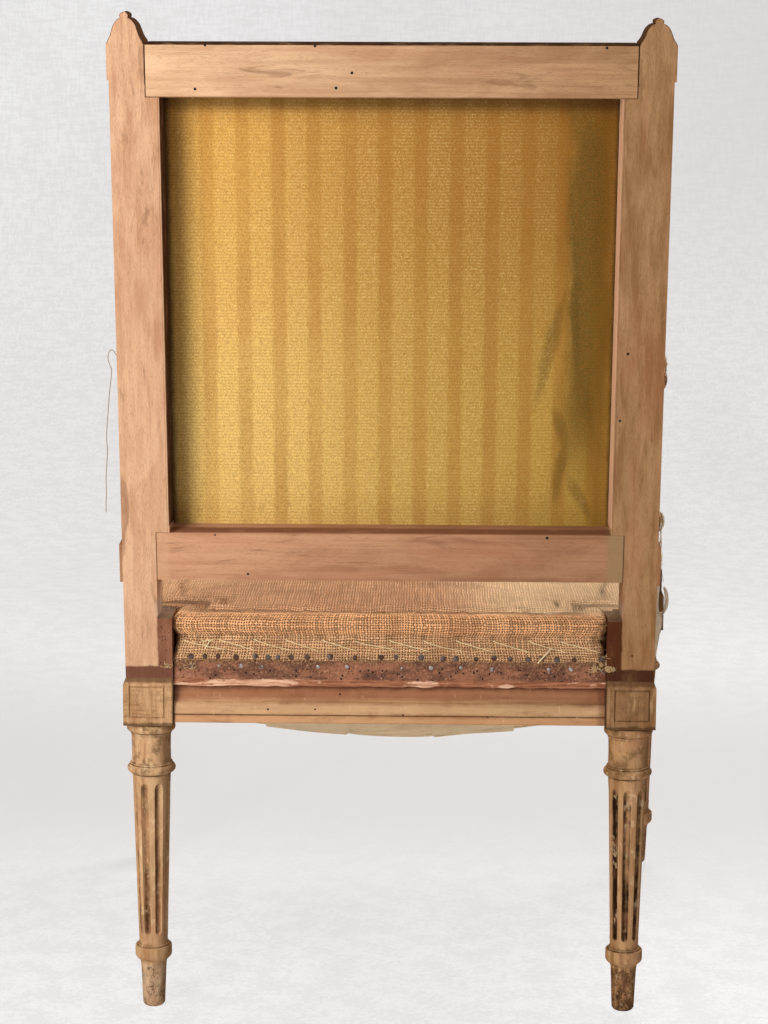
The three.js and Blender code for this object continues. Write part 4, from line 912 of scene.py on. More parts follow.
def railWood(name, grain, shift):
    def bandPaint(vector, under):
        x, y, z = axes(vector)
        push = noiseAt(vector, (110, 110, 60), 4, 0.65)
        wander = timesPlus(push, 0.005, z)
        for low, high, strength, tint in railTonesAndShading:
            zone = times(mapRange(wander, low - 0.0015, low + 0.0035),
                         mapRange(wander, high - 0.0025, high + 0.0025, 1.0, 0.0))
            under = mixColor(times(zone, strength), under, tint)
        scratch = noiseAt(coordinates(), (260, 260, 45), 4, 0.7, shift=(2, 2, 2))
        under = mixColor(mapRange(scratch, 0.62, 0.7, 0.0, 0.35), under, rgb(226, 190, 150))
        stain = noiseAt(vector, (20, 20, 70), 5, 0.65, shift=(7, 7, 1))
        under = mixColor(mapRange(stain, 0.52, 0.68, 0.0, 0.5), under, rgb(132, 84, 58))
        # the tack band, stripped of its gilding, nicked and grimy
        grime = noiseAt(vector, (55, 55, 110), 4, 0.65)
        shade = mixColor(mapRange(grime, 0.38, 0.62), rgb(104, 70, 56), rgb(152, 102, 78))
        nick = noiseAt(vector, 420, 3, 0.7, shift=(5, 5, 5))
        shade = mixColor(mapRange(nick, 0.6, 0.68, 0.0, 0.7), shade, rgb(196, 150, 122))
        shade = mixColor(mapRange(nick, 0.36, 0.42, 0.7, 0.0), shade, rgb(62, 38, 30))
        band = mapRange(timesPlus(push, 0.012, z), 0.3605, 0.3635)
        over = mixColor(times(band, 0.95), under, shade)
        # dark tips and a dark right end, on the rear rail
        rear = mapRange(y, rearAxisY - 0.016, rearAxisY - 0.012)
        tips = times(mapRange(mathNode("ABSOLUTE", x), 0.2208, 0.2224), rear)
        over = mixColor(times(tips, 0.8), over, rgb(52, 32, 22))
        ends = times(mapRange(timesPlus(push, -0.012, times(x, -1.0)), 0.2055, 0.2125), rear)
        over = mixColor(times(ends, 0.5), over, rgb(108, 62, 44))
        # torn wood over the moulding, pale on the left and brown in patches
        fibres = mapRange(noiseAt(coordinates(grain), (500, 500, 30), 3, 0.6), 0.35, 0.65)
        pale = mixColor(fibres, rgb(186, 130, 100), rgb(226, 184, 154))
        brown = mixColor(fibres, rgb(132, 80, 58), rgb(172, 116, 84))
        patch = noiseAt(vector, (20, 20, 60), 4, 0.65, shift=(2, 5, 1))
        patch = timesPlus(mapRange(x, 0.07, 0.12), 0.16, patch)
        pale = mixColor(mapRange(patch, 0.55, 0.6), brown, pale)
        jag = noiseAt(vector, (90, 90, 20), 4, 0.7, shift=(6, 2, 1))
        return mixColor(mapRange(timesPlus(jag, 0.9, attribute("torn")), 0.78, 0.98), over, pale)
    return woodMaterial(name, grain, light=(rgb(216, 172, 128), rgb(192, 148, 106)),
                        dark=(rgb(168, 120, 86), rgb(146, 104, 70)), blush=0.5, figure=0.3, shift=shift,
                        zones=[bandPaint], patinaAndShade=rgb(72, 45, 28), breakup=0.9)


# start and end give a point of the section at each end of the rail
def makeRail(title, start, end, wood):
    s = railShape
    name = f"seat_rail_{title}"
    bm = bmesh.new()
    dirtAndShadeLayer(bm)
    tornLayer = bm.verts.layers.float.new("torn")
    count = int((end(0, 0) - start(0, 0)).length / (s["step"] * mm))
    bandLow, bandHigh = s["bandHeights"]
    mouldingLow, mouldingHigh = s["mouldingHeights"]
    rings = []
    for k in range(count + 1):
        ring = []
        for out, z, dirtAndShade, torn in railSection:
            spot = start(out, z).lerp(end(out, z), k / count)
            chip = noise.noise(spot * 95 + Vector((0, 0, 4)))
            fine = noise.noise(spot * 420)
            outward = (start(out + 1, z) - start(out, z)).normalized()
            if torn > 0:
                gouge = max(0, chip + 0.25) * s["chip"] + 0.35 * fine
                spot = spot - outward * (gouge * torn * mm) + Vector((0, 0, 0.9 * mm * chip * torn))
            elif bandLow < z < bandHigh:
                spot = spot - outward * (max(0, fine) * 0.35 * mm)
            elif mouldingLow < z < mouldingHigh:
                spot = spot - outward * (max(0, chip - 0.2) * 0.8 * mm)
            ring.append((spot, dirtAndShade))
        rings.append(ring)
    for row in addRings(bm, rings):
        for vert, (_, _, _, torn) in zip(row, railSection):
            vert[tornLayer] = torn
    piece = newObject(f"{name}_moulded", bm, [wood], 38)
    place(piece, [name])


def sideX(y, out):
    share = (y - rearAxisY) / (plan["frontY"] - rearAxisY)
    return lerp(plan["rearX"], plan["frontX"], share) + out * mm


def acrossEnd(x, y, way):
    return lambda out, z: Vector((x, y + way * out * mm, z * mm))


def alongEnd(side, y):
    return lambda out, z: Vector((side * sideX(y, out), y, z * mm))


railAcross = railWood("beech rail across", "yzx", (0.2, 0.5, 0.4))
railAlong = railWood("beech rail along", "xzy", (0.6, 0.1, 0.8))
rearReach = plan["rearX"] - plan["blockHalf"] - railShape["gap"]
frontReach = plan["frontX"] - plan["blockHalf"] - railShape["gap"]
sideRear = rearAxisY - plan["blockHalf"] - railShape["gap"]
sideFront = plan["frontY"] + plan["blockHalf"] + railShape["gap"]
makeRail("rear", acrossEnd(rearReach, rearAxisY, 1), acrossEnd(-rearReach, rearAxisY, 1), railAcross)
makeRail("front", acrossEnd(-frontReach, plan["frontY"], -1), acrossEnd(frontReach, plan["frontY"], -1),
         railAcross)
makeRail("left", alongEnd(1, sideFront), alongEnd(1, sideRear), railAlong)
makeRail("right", alongEnd(-1, sideRear), alongEnd(-1, sideFront), railAlong)
print("seat rails done")


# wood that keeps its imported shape

def dressNode(name, material):
    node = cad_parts[name]
    node.data.materials.clear()
    node.data.materials.append(material)
    return node


topWood = woodMaterial(
    "beech top rail", "yzx", light=(rgb(230, 192, 155), rgb(190, 148, 107)),
    dark=(rgb(202, 160, 124), rgb(150, 108, 74)), blush=0.3, figure=0.03, shift=(0.9, 0.3, 0.2), zones=[
        # a dark band along the top edge: painted shade of the moulding
        boxZone((anywhere, anywhere, (0.9934, None)), rgb(58, 38, 24), 1.0, 0.0004, 0.0006),
        boxZone(((0.2359, None), anywhere, anywhere), rgb(60, 38, 24), 1.0, 0.0003, 0.0003),
        boxZone(((None, -0.2359), anywhere, anywhere), rgb(48, 30, 20), 1.0, 0.0003, 0.0003),
        boxZone((anywhere, anywhere, (None, 0.9452)), rgb(120, 82, 54), 0.7, 0.0003, 0.0005),
    ])
bottomWood = woodMaterial(
    "beech bottom rail", "yzx", light=(rgb(206, 158, 124), rgb(172, 126, 92)),
    dark=(rgb(172, 122, 92), rgb(134, 94, 66)), blush=0.4, figure=0.12, shift=(0.1, 0.8, 0.5), zones=[
        boxZone(((None, -0.2205), anywhere, (0.45, 0.52)), rgb(152, 124, 88), 0.85, 0.0015, 0.004),
        boxZone(((0.2235, None), anywhere, (0.45, 0.52)), rgb(196, 152, 116), 0.6, 0.003, 0.006),
        boxZone(((0.2360, None), anywhere, anywhere), rgb(84, 54, 34), 1.0, 0.0003, 0.0003),
        boxZone(((None, -0.2360), anywhere, anywhere), rgb(52, 32, 20), 1.0, 0.0003, 0.0003),
        boxZone((anywhere, (0.2440, 0.262), (0.5105, None)), rgb(122, 80, 58), 0.8, 0.001, 0.004),
    ])
armWood = woodMaterial("beech arm", "xzy", blush=0.35, figure=0.15, shift=(0.4, 0.2, 0.6))
innerWood = woodMaterial("beech inside", "yzx", light=(rgb(176, 134, 98), rgb(168, 126, 90)),
                         dark=(rgb(134, 94, 64), rgb(126, 86, 58)), blush=0.2, figure=0.1,
                         shift=(0.3, 0.6, 0.9))
dressNode("back_top_rail", topWood)
dressNode("back_bottom_rail", bottomWood)
for title in ("left", "right"):
    dressNode(f"arm_{title}", armWood)
    dressNode(f"arm_support_{title}", legWoods["front"])
    for end in ("rear", "front"):
        dressNode(f"corner_block_{end}_{title}", innerWood)
print("kept wood dressed")


# burlap

burlapColors = {
    "light": rgb(250, 196, 146), "dark": rgb(66, 32, 14), "grime": rgb(142, 88, 52),
    "rollLight": rgb(255, 192, 138), "topLeft": rgb(228, 172, 130), "topRight": rgb(255, 222, 176),
    "worn": rgb(255, 212, 164), "dirtAndShade": rgb(70, 46, 26), "sheen": rgb(230, 180, 120),
}


# paint changes the light threads, worn masks the paler cloth (on the seat also painted light); without an
# order the weave follows its own map
def burlapMaterial(name, order="xyz", threads=357, light=burlapColors["light"], dark=burlapColors["dark"],
                   paint=None, worn=None, wander=0.004, gaps=0.6):
    material, shader = newMaterial(name)
    plain = coordinates()
    if order is None:
        vector = newNode("UVMap", uv_map="weave").outputs[0]
    else:
        # leant over, so that the edges of a pad keep their threads
        x, y, z = axes(coordinates(order))
        leant = newNode("CombineXYZ")
        for axis, value in enumerate((x, y)):
            setOrWire(plus(value, z), leant.inputs[axis])
        vector = leant.outputs[0]
    weave = groupNode(weaveGroup, Vector=vector, Threads=threads,
                      Light=paint(plain, light) if paint else light,
                      Dark=dark, Open=gaps, Wander=wander)
    grimy = mapRange(noiseAt(plain, 26, 4, 0.6), 0.45, 0.75)
    color = mixColor(times(grimy, 0.35), weave.outputs["Color"], burlapColors["grime"])
    if worn:
        color = mixColor(worn(plain), color, burlapColors["worn"])
    color = mixColor(times(attribute("dirtAndShade"), 0.8), color, burlapColors["dirtAndShade"])
    soft = bumpNode(noiseAt(plain, 900, 3, 0.7), 0.0004, 0.5)
    dress(shader, color, bumpNode(weave.outputs["Height"], 0.0011, 0.9, soft), {
        "Roughness": 0.95, "Specular IOR Level": 0.02, "Sheen Weight": 0.08,
        "Sheen Tint": burlapColors["sheen"],
    })
    return material


# seat stuffing: tacked hem, stitched wall, roll, slack fold behind it, low crown; in millimetres

seatShape = {
    "outer": 19.45, "clearance": 0.7, "step": 3.0, "frontPost": 22.85,
    "wall": [  # inset, height
        (-0.9, 377.4), (-1.0, 379.0), (-1.0, 380.6), (-0.4, 382.6), (0.9, 385.0), (1.4, 387.5), (2.0, 390.5),
        (2.7, 393.5), (3.4, 396.5), (4.3, 399.4), (5.0, 401.6), (4.2, 403.4), (2.4, 405.0), (0.6, 407.2),
        (-0.8, 410.0), (-1.6, 413.0), (-1.7, 416.0), (-0.9, 419.0), (0.9, 421.8), (3.4, 423.9), (6.4, 425.0),
        (9.5, 425.1), (12.5, 424.4), (15.5, 423.4), (18.5, 422.7), (22, 422.3), (26, 422.2),
    ],
    "hemTop": 3, "crease": 10, "rollTop": 21,  # rows of the wall
    "domeRings": 46, "crown": 9.5, "stitchPitch": 36.0,
    "fold": (0.017, 0.0075, 3.8), "valley": (0.030, 0.0045, 2.4),  # distance from the wall, width, height
    "under": [(-0.35, 377.6), (-0.35, 382.0), (4.5, 386.4), (14.0, 386.9)],
    "underShares": (0.84, 0.5, 0.2), "underHeight": 387.0, "underRise": 7,
}


def seatCorners(inset):
    s = seatShape
    rearX, frontX, half = plan["rearX"] / mm, plan["frontX"] / mm, plan["blockHalf"] / mm
    rearY, frontY = rearAxisY / mm, plan["frontY"] / mm
    rearNotchX = rearX - half - s["clearance"] - inset
    rearNotchY = rearY - half - s["clearance"] - inset
    frontNotchX = frontX - s["frontPost"] - s["clearance"] - inset
    frontNotchY = frontY + s["frontPost"] + s["clearance"] + inset
    outer = s["outer"] - inset
    left = [
        (rearNotchX, rearY + outer), (rearNotchX, rearNotchY),
        (sideX(rearNotchY * mm, outer) / mm, rearNotchY), (sideX(frontNotchY * mm, outer) / mm, frontNotchY),
        (frontNotchX, frontNotchY), (frontNotchX, frontY - outer),
    ]
    return left + [(-x, y) for x, y in reversed(left)]


# points around the seat, counts for each side, with the directions into it
def seatRing(inset, counts):
    corners = seatCorners(inset)
    ring = []
    for k, (x, y) in enumerate(corners):
        x2, y2 = corners[(k + 1) % len(corners)]
        length = math.hypot(x2 - x, y2 - y)
        normal = Vector(((y2 - y) / length, -(x2 - x) / length, 0))
        for t in range(counts[k]):
            share = t / counts[k]
            ring.append((Vector((lerp(x, x2, share), lerp(y, y2, share), 0)), normal))
    return ring


# the push outwards, the lift and the dirt at a point in a row of the wall; the dirt adds painted shade in the
# crease and at the stitch pulls
def wallRelief(k, along, lump, fine):
    s = seatShape
    pull = max(0, math.cos(2 * math.pi * along / s["stitchPitch"])) ** 6
    if k == 0:
        return 0.0, 1.8 * fine + 1.2 * noise.noise(Vector((along * 0.3, 7, 1))), 0.25
    if k <= s["hemTop"]:
        return 0.0, 0.4 * fine, 0.25
    if k < s["crease"] - 1:
        return 1.5 * lump + 0.7 * fine, 0.0, 0.12 + 0.3 * max(0, fine)
    if k <= s["crease"] + 1:
        return -1.8 * pull + 1.4 * lump + 0.9, 1.6 * lump, 0.1 + 0.45 * pull + 0.25 * max(0, -lump)
    if k <= s["rollTop"]:
        return 1.1 * lump + 0.5 * fine, 0.9 * lump, 0.1 * max(0, fine)
    ridge = noise.noise(Vector((along * 0.03, 5, k * 0.3)))
    return 0.0, 1.4 * ridge + 0.8 * fine, 0.1 + 0.4 * max(0, ridge)


# rows of the outer side; a point is its spot, its place in the weave and its dirt with painted shade
def seatWall(outline, counts):
    wall = seatShape["wall"]
    arcs = [0]
    for (inset, z), (inset2, z2) in zip(wall, wall[1:]):
        arcs.append(arcs[-1] + math.hypot(inset2 - inset, z2 - z))
    rows = []
    for k, (inset, z) in enumerate(wall):
        row = []
        for (spot, _), (base, normal) in zip(seatRing(inset, counts), outline):
            seed = Vector((base.x * 0.028, base.y * 0.028, 0))
            lump = noise.noise(seed + Vector((0, 0, z * 0.035)))
            fine = noise.noise(seed * 4.5 + Vector((3, 1, z * 0.12)))
            along = base.x if abs(normal.y) > 0.5 else base.y
            out, lift, dirtAndShade = wallRelief(k, along, lump, fine)
            spot = (spot + normal * out + Vector((0, 0, z + lift))) * mm
            row.append((spot, (base + normal * (arcs[-1] - arcs[k])) * mm, dirtAndShade))
        # each point is drawn towards its neighbours, which rounds the corners
        spots = [point[0] for point in row]
        around = zip(spots[-1:] + spots, spots, spots[1:] + spots[:1])
        rows.append([((before + spot * 2 + after) / 4, weave, dirtAndShade)
                     for (before, spot, after), (_, weave, dirtAndShade) in zip(around, row)])
    return rows


# rows of the top, drawn towards the middle
def seatTop(edge, middle):
    s = seatShape
    (foldAt, foldWide, foldHigh), (valleyAt, valleyWide, valleyDeep) = s["fold"], s["valley"]
    rows = []
    for r in range(1, s["domeRings"] + 1):
        share = 1 - (r / (s["domeRings"] + 0.6)) ** 0.92
        swell = s["crown"] * (1 - share ** 2.2) * mm
        row = []
        for p in edge:
            start = Vector((p.x, p.y, 0))
            flat = start.lerp(middle, 1 - share)
            far = (start - flat).length
            slack = noise.noise(Vector((flat.x * 11, flat.y * 26, 2))) + 0.5 * noise.noise(flat * 60)
            wave = 0.009 * noise.noise(Vector((flat.x * 13, flat.y * 13, 4)))
            ridge = math.exp(-((far - foldAt - wave) / foldWide) ** 2) * (1 + 0.5 * noise.noise(flat * 30))
            valley = math.exp(-((far - valleyAt - wave) / valleyWide) ** 2)
            relief = (1.6 * slack + foldHigh * ridge - valleyDeep * valley) * mm * min(1, far / 0.010)
            height = p.z * share + edge[0].z * (1 - share) + swell + relief
            # dirt with painted shade in the low hollows of the slack and along the valley
            dirtAndShade = 0.04 + 0.3 * max(0, -slack) + valley * max(0.1, 0.4 + 0.8 * slack)
            row.append((Vector((flat.x, flat.y, height)), flat, dirtAndShade))
        rows.append(row)
    return rows


# the roll, the pale top with its strip, painted shade and light across the top, a painted shadow line, and
# dark stuffing in the torn right end
def seatPaint(vector, under):
    x, y, z = axes(vector)
    wobble = noiseAt(vector, 40, 4, 0.6)
    height = timesPlus(wobble, 0.006, z)
    roll = times(mapRange(height, 0.4055, 0.4085), mapRange(height, 0.4275, 0.4305, 1.0, 0.0))
    color = mixColor(roll, under, burlapColors["rollLight"])
    depth = timesPlus(wobble, 0.03, y)
    deep = mapRange(depth, rearAxisY + 0.0015, rearAxisY + 0.0065, 1.0, 0.0)
    high = mapRange(z, 0.4205, 0.4225)
    # the top: painted shade on its left, in the stile's shadow, and painted light on its right
    top = mixColor(mapRange(x, -0.17, -0.03), burlapColors["topRight"], burlapColors["topLeft"])
    color = mixColor(times(deep, high), color, top)
    strip = times(minus(1.0, deep), mapRange(z, 0.4275, 0.4290))
    color = mixColor(times(strip, 0.8), color, rgb(244, 200, 160))
    # a dark wavy line along the edge of the strip: painted shadow in the gap
    line = times(times(deep, minus(1.0, deep)), 4.0)
    line = times(times(line, high), mapRange(wobble, 0.38, 0.55, 0.3, 0.75))
    color = mixColor(line, color, rgb(104, 66, 40))
    edge = timesPlus(noiseAt(vector, 120, 4, 0.7), 0.022, x)
    torn = times(mapRange(edge, -0.2075, -0.2025, 1.0, 0.0), mapRange(z, 0.418, 0.423, 1.0, 0.0))
    rear = mapRange(y, rearAxisY, rearAxisY + 0.008)
    return mixColor(times(times(torn, rear), 0.8), color, rgb(84, 52, 34))


# fluffed and paler on the slack top, and painted light on its right
def seatPaleAndLit(vector):
    x, y, z = axes(vector)
    high = mapRange(z, 0.4215, 0.4240)
    left = mapRange(x, 0.05, 0.20, 0.10, 0.2)
    right = mapRange(x, -0.17, -0.03, 0.34, 0.0)
    near = mapRange(y, rearAxisY + 0.0015, rearAxisY + 0.0065, 0.0, 0.22)
    back = mapRange(y, rearAxisY + 0.008, rearAxisY + 0.013, 1.0, 0.0)
    return times(times(plus(plus(left, right), near), high), back)


def makeSeat():
    s = seatShape
    corners = seatCorners(0)
    counts = [max(6, int(math.dist(a, b) / s["step"])) for a, b in zip(corners, corners[1:] + corners[:1])]
    centre = Vector((0, (rearAxisY + plan["frontY"]) / 2 / mm, 0))
    middle = centre * mm
    outline = [(p, -n) for p, n in seatRing(0, counts)]
    total = len(outline)
    rows = seatWall(outline, counts)
    rows += seatTop([point[0] for point in rows[-1]], middle)
    bm = bmesh.new()
    layer = dirtAndShadeLayer(bm)
    uvLayer = bm.loops.layers.uv.new("weave")

    def addFace(verts, weaves):
        for loop, weave in zip(bm.faces.new(verts).loops, weaves):
            loop[uvLayer].uv = (weave.x, weave.y)

    def skin(a, b, weaveA, weaveB):
        for i in range(total):
            j = (i + 1) % total
            addFace((a[i], a[j], b[j], b[i]), (weaveA[i], weaveA[j], weaveB[j], weaveB[i]))

    made = []
    for row in rows:
        line = []
        for spot, _, dirtAndShade in row:
            vert = bm.verts.new(spot)
            vert[layer] = dirtAndShade
            line.append(vert)
        made.append(line)
    weaves = [[point[1] for point in row] for row in rows]
    for k in range(len(made) - 1):
        skin(made[k], made[k + 1], weaves[k], weaves[k + 1])
    hub = bm.verts.new(sum((v.co for v in made[-1]), Vector()) / total)
    for i in range(total):
        j = (i + 1) % total
        addFace((made[-1][i], made[-1][j], hub), (weaves[-1][i], weaves[-1][j], middle))
    # underside: turns in under the hem and closes over the canvas
    below = [[Vector((p.x, p.y, z)) * mm for p, _ in seatRing(inset, counts)] for inset, z in s["under"]]
    for share in s["underShares"]:
        z = s["underHeight"] + s["underRise"] * (1 - share * share)
        flats = [p.lerp(centre, 1 - share) for p, _ in seatRing(s["under"][-1][0], counts)]
        below.append([Vector((flat.x, flat.y, z)) * mm for flat in flats])
    previous, previousWeave = made[0], weaves[0]
    for spots in below:
        line = [bm.verts.new(spot) for spot in spots]
        skin(line, previous, spots, previousWeave)
        previous, previousWeave = line, spots
    hub = bm.verts.new(sum((v.co for v in previous), Vector()) / total)
    for i in range(total):
        bm.faces.new((previous[(i + 1) % total], previous[i], hub))
    material = burlapMaterial("burlap seat", None, paint=seatPaint, worn=seatPaleAndLit)
    piece = newObject("seat_burlap", bm, [material])
    place(piece, ["seat_stuffing"])


makeSeat()
print("seat done")


# outside back panel: striped velvet seen from behind, in millimetres in the plane of the back

panelShape = {
    "reachX": 230.55, "low": 149.6, "high": 599.0, "face": -15.5, "bow": 3.0, "thick": 1.1,
    "across": 150, "up": 146,
    "creases": [  # middle x and z, height, width, depth, lean
        (-182, 430, 190, 13, 2.6, 0.10), (-160, 330, 120, 9, 1.6, -0.22), (-203, 300, 120, 8, 1.8, 0.05),
        (-214, 250, 60, 7, 2.0, 0.3), (-176, 205, 60, 8, 1.5, -0.4), (-222, 420, 140, 6, 1.4, 0.0),
        (-40, 210, 30, 60, 0.5, 0.0), (216, 300, 150, 7, 1.0, 0.02),
    ],
}
velvetColors = {
    "topLeft": rgb(221, 167, 79), "topRight": rgb(133, 91, 22), "lowLeft": rgb(231, 193, 109),
    "lowRight": rgb(170, 137, 54), "middle": rgb(100, 70, 16), "stripe": rgb(150, 92, 28),
    "olive": rgb(74, 64, 15), "sheenBand": rgb(237, 197, 115), "pale": rgb(240, 206, 136),
    "shade": rgb(52, 32, 10), "ember": rgb(118, 78, 20), "sheen": rgb(240, 210, 140),
}
velvetShape = {
    "reach": 0.22, "stripePitch": 0.0353, "stripeShift": -0.0083, "rowPitch": 0.0031,
    "foldShades": [  # x, z, width, height, lean
        (-0.172, 0.622, 0.006, 0.016, 0.3), (-0.176, 0.575, 0.005, 0.032, -0.1),
        (-0.196, 0.545, 0.006, 0.022, 0.4), (-0.181, 0.78, 0.006, 0.085, 0.04),
        (-0.182, 0.75, 0.004, 0.07, 0.04), (-0.160, 0.70, 0.005, 0.05, -0.2),
    ],
}


# how far back the cloth lies at a place of the panel
def panelDepth(x, z):
    s = panelShape
    across = x / s["reachX"]
    along = (z - (s["low"] + s["high"]) / 2) / ((s["high"] - s["low"]) / 2)
    y = s["face"] - s["bow"] * (1 - across ** 4) * (1 - along ** 4)
    edge = min(1, (1 - abs(across)) * 9, (1 - abs(along)) * 9)
    soft = noise.noise(Vector((x * 0.013, z * 0.006, 2))) * 0.9
    crease = 0.0
    for middleX, middleZ, tall, wide, deep, lean in s["creases"]:
        offX = x - middleX - lean * (z - middleZ)
        crease += deep * math.exp(-(offX / wide) ** 2 - ((z - middleZ) / tall) ** 2)
    dimple = noise.noise(Vector((x * 0.05, z * 0.045, 6)))
    rough = dimple * (0.12 + 0.7 * ramp(-x, 60, 200))
    return y - edge * (0.25 * soft + crease * 0.55 - 0.55 * rough * 0.8)


def makePanel():
    s = panelShape
    toWorld = backFrame()

    def spotAt(i, j, back):
        x = lerp(-s["reachX"], s["reachX"], i / s["across"])
        z = lerp(s["low"], s["high"], j / s["up"])
        return toWorld @ Vector((x * mm, (panelDepth(x, z) - back * s["thick"]) * mm, z * mm)), 0.0

    bm = bmesh.new()
    addSheet(bm, s["across"], s["up"], spotAt)
    piece = newObject("striped_velvet", bm, [velvetMaterial()])
    place(piece, ["outside_back_panel"])


def velvetMaterial():
    material, shader = newMaterial("velvet, striped")
    c, s = velvetColors, velvetShape
    plain = coordinates()
    x, y, z = axes(plain)
    cloud = noiseAt(plain, (7, 7, 5), 4, 0.55)
    height = timesPlus(cloud, 0.16, z)
    up = mapRange(height, 0.62, 1.02)
    # top and low colours run from the lit left to the darker right: painted light falloff
    low, top = (groupNode(paintedFalloffGroup, Vector=plain, Left=c[level + "Left"], Right=c[level + "Right"],
                          Reach=s["reach"]).outputs[0] for level in ("low", "top"))
    color = mixColor(up, low, top)
    middle = mapRange(mathNode("ABSOLUTE", x), 0.04, 0.16, 0.18, 0.0)
    color = mixColor(times(middle, up), color, c["middle"])
    # painted sheen: the light band down the left third
    sway = timesPlus(cloud, 0.05, x)
    sheenBand = times(mapRange(sway, 0.02, 0.16), mapRange(sway, 0.19, 0.25, 1.0, 0.0))
    lowPart = mapRange(height, 0.72, 0.98, 1.0, 0.25)
    color = mixColor(times(times(sheenBand, lowPart), 0.4), color, c["sheenBand"])
    # stripes, their edges softened by the pile
    shake = noiseAt(plain, (260, 260, 60), 3, 0.6)
    across = plus(timesPlus(shake, 0.005, x), s["stripeShift"])
    band = mapRange(mathNode("COSINE", times(across, 2 * math.pi / s["stripePitch"])), -0.1, 0.75)
    patch = noiseAt(plain, (14, 14, 9), 3, 0.5, shift=(3, 3, 3))
    color = mixColor(times(band, mapRange(patch, 0.3, 0.7, 0.2, 0.42)), color, c["stripe"])
    # olive, pressed pile with painted shade along the crease on the right
    drift = noiseAt(plain, (22, 22, 8), 4, 0.6, shift=(1, 8, 2))
    sideways = timesPlus(drift, 0.06, x)
    dark = times(mapRange(sideways, -0.194, -0.178, 0.3, 1.0), mapRange(sideways, -0.158, -0.132, 1.0, 0.0))
    tall = times(mapRange(height, 0.60, 0.74), mapRange(height, 0.98, 1.06, 1.0, 0.45))
    color = mixColor(times(times(dark, tall), 0.82), color, c["olive"])
    # painted shade of short folds where the cloth has come loose
    for foldX, foldZ, wide, high, lean in s["foldShades"]:
        offX = minus(timesPlus(drift, 0.034, x), foldX + 0.017)
        offZ = minus(z, foldZ)
        offX = timesPlus(offZ, -lean, offX)
        far = plus(*(mathNode("POWER", mathNode("DIVIDE", off, size), 2.0)
                     for off, size in ((offX, wide), (offZ, high))))
        color = mixColor(mapRange(far, 0.0, 2.0, 0.5, 0.0), color, c["olive"])
    # ribs and dots of the pile
    drop = noiseAt(plain, 60, 2, 0.5, shift=(2, 4, 6))
    rows = mathNode("SINE", timesPlus(drop, 0.9, times(z, 2 * math.pi / s["rowPitch"])))
    columns = noiseAt(plain, (420, 420, 250), 2, 0.6, shift=(1, 1, 7))
    grain = noiseAt(plain, (640, 640, 560), 2, 0.6, shift=(6, 1, 7))
    rib = times(mapRange(rows, -0.2, 0.9), mapRange(columns, 0.36, 0.6))
    spot = plus(times(rib, 0.55), mapRange(grain, 0.42, 0.66, 0.0, 0.75))
    fade = times(timesPlus(times(dark, tall), -0.7, 1.0), mapRange(x, -0.21, -0.06, 0.5, 1.0))
    quiet = times(fade, minus(1.0, times(band, 0.55)))
    speck = noiseAt(plain, 800, 2, 0.6)
    lift = times(times(spot, quiet), mapRange(speck, 0.3, 0.65, 0.2, 0.46))
    color = mixColor(lift, color, c["pale"])
    color = mixColor(times(mapRange(rows, -0.9, -0.1, 1.0, 0.0), 0.2), color, c["stripe"])
    grit = mapRange(noiseAt(plain, (700, 700, 520), 2, 0.7), 0.4, 0.64, 0.0, 0.42)
    color = mixColor(grit, color, c["stripe"])
    # warm edge on the right, and painted shadow along the margins
    wobble = timesPlus(shake, 0.004, x)
    for value, low, high, start, end, tint in (
            (timesPlus(drift, 0.02, x), -0.204, -0.190, 0.55, 0.0, "ember"),
            (wobble, 0.2165, 0.2255, 0.0, 0.92, "shade"), (wobble, -0.2215, -0.2165, 0.8, 0.0, "shade"),
            (z, 0.929, 0.9405, 0.0, 0.55, "shade")):
        color = mixColor(mapRange(value, low, high, start, end), color, c[tint])
    dress(shader, color, bumpNode(plus(spot, speck), 0.0005, 0.7), {
        "Roughness": 0.88, "Specular IOR Level": 0.2, "Sheen Weight": 0.12, "Sheen Roughness": 0.4,
        "Sheen Tint": c["sheen"],
    })
    return material


makePanel()
print("back panel done")


# straps, springs and canvas

juteLook = {"light": rgb(255, 232, 192), "dark": rgb(255, 214, 166), "threads": 620, "wander": 0.0004,
            "gaps": 0.3}
seatJute = burlapMaterial("jute webbing of the seat", **juteLook)
backJute = burlapMaterial("jute webbing of the back", "xzy", **juteLook)


def smoothNode(piece, title, level):
    modifier = piece.modifiers.new(title, "SUBSURF")
    modifier.levels = modifier.render_levels = level


def smoothStrap(node, title, material, shape=None):
    bm = copyOfNode(node)
    dirtAndShadeLayer(bm)
    if shape:
        shape(bm)
    crease = bm.edges.layers.float.new("crease_edge")
    for edge in bm.edges:
        if len(edge.link_faces) == 2 and edge.calc_face_angle(0) > math.radians(55):
            edge[crease] = 1.0
    piece = newObject(title, bm, [material], 50)
    smoothNode(piece, "soft", 2)
    place(piece, [node])


# the ends are pulled wide under the rear rail, where the straps touch
def widenRear(bm):
    rear = [v for v in bm.verts if v.co.y > 0.15]
    for y in {round(v.co.y, 3) for v in rear}:
        row = [v for v in rear if abs(v.co.y - y) < 0.004]
        middle = sum(v.co.x for v in row) / len(row)
        for vert in row:
            vert.co.x += math.copysign(0.0040, vert.co.x - middle)
            if 0.17 < vert.co.y < 0.22:
                vert.co.z -= 0.0018


# the rear edge of the first cross strap rises to the straps that lie over it
def liftRearEdge(bm):
    for vert in bm.verts:
        if vert.co.y > 0.15 and not 0.05 < abs(vert.co.x) < 0.13:
            vert.co.z += 0.0026


for k in range(1, 6):
    smoothStrap(f"seat_strap_lengthwise_{k}", f"webbing_lengthwise_{k}", seatJute, widenRear)
    smoothStrap(f"seat_strap_crosswise_{k}", f"webbing_crosswise_{k}", seatJute,
                liftRearEdge if k == 1 else None)
for k in (1, 2):
    for way in ("upright", "level"):
        smoothStrap(f"back_strap_{way}_{k}", f"back_webbing_{way}_{k}", backJute)


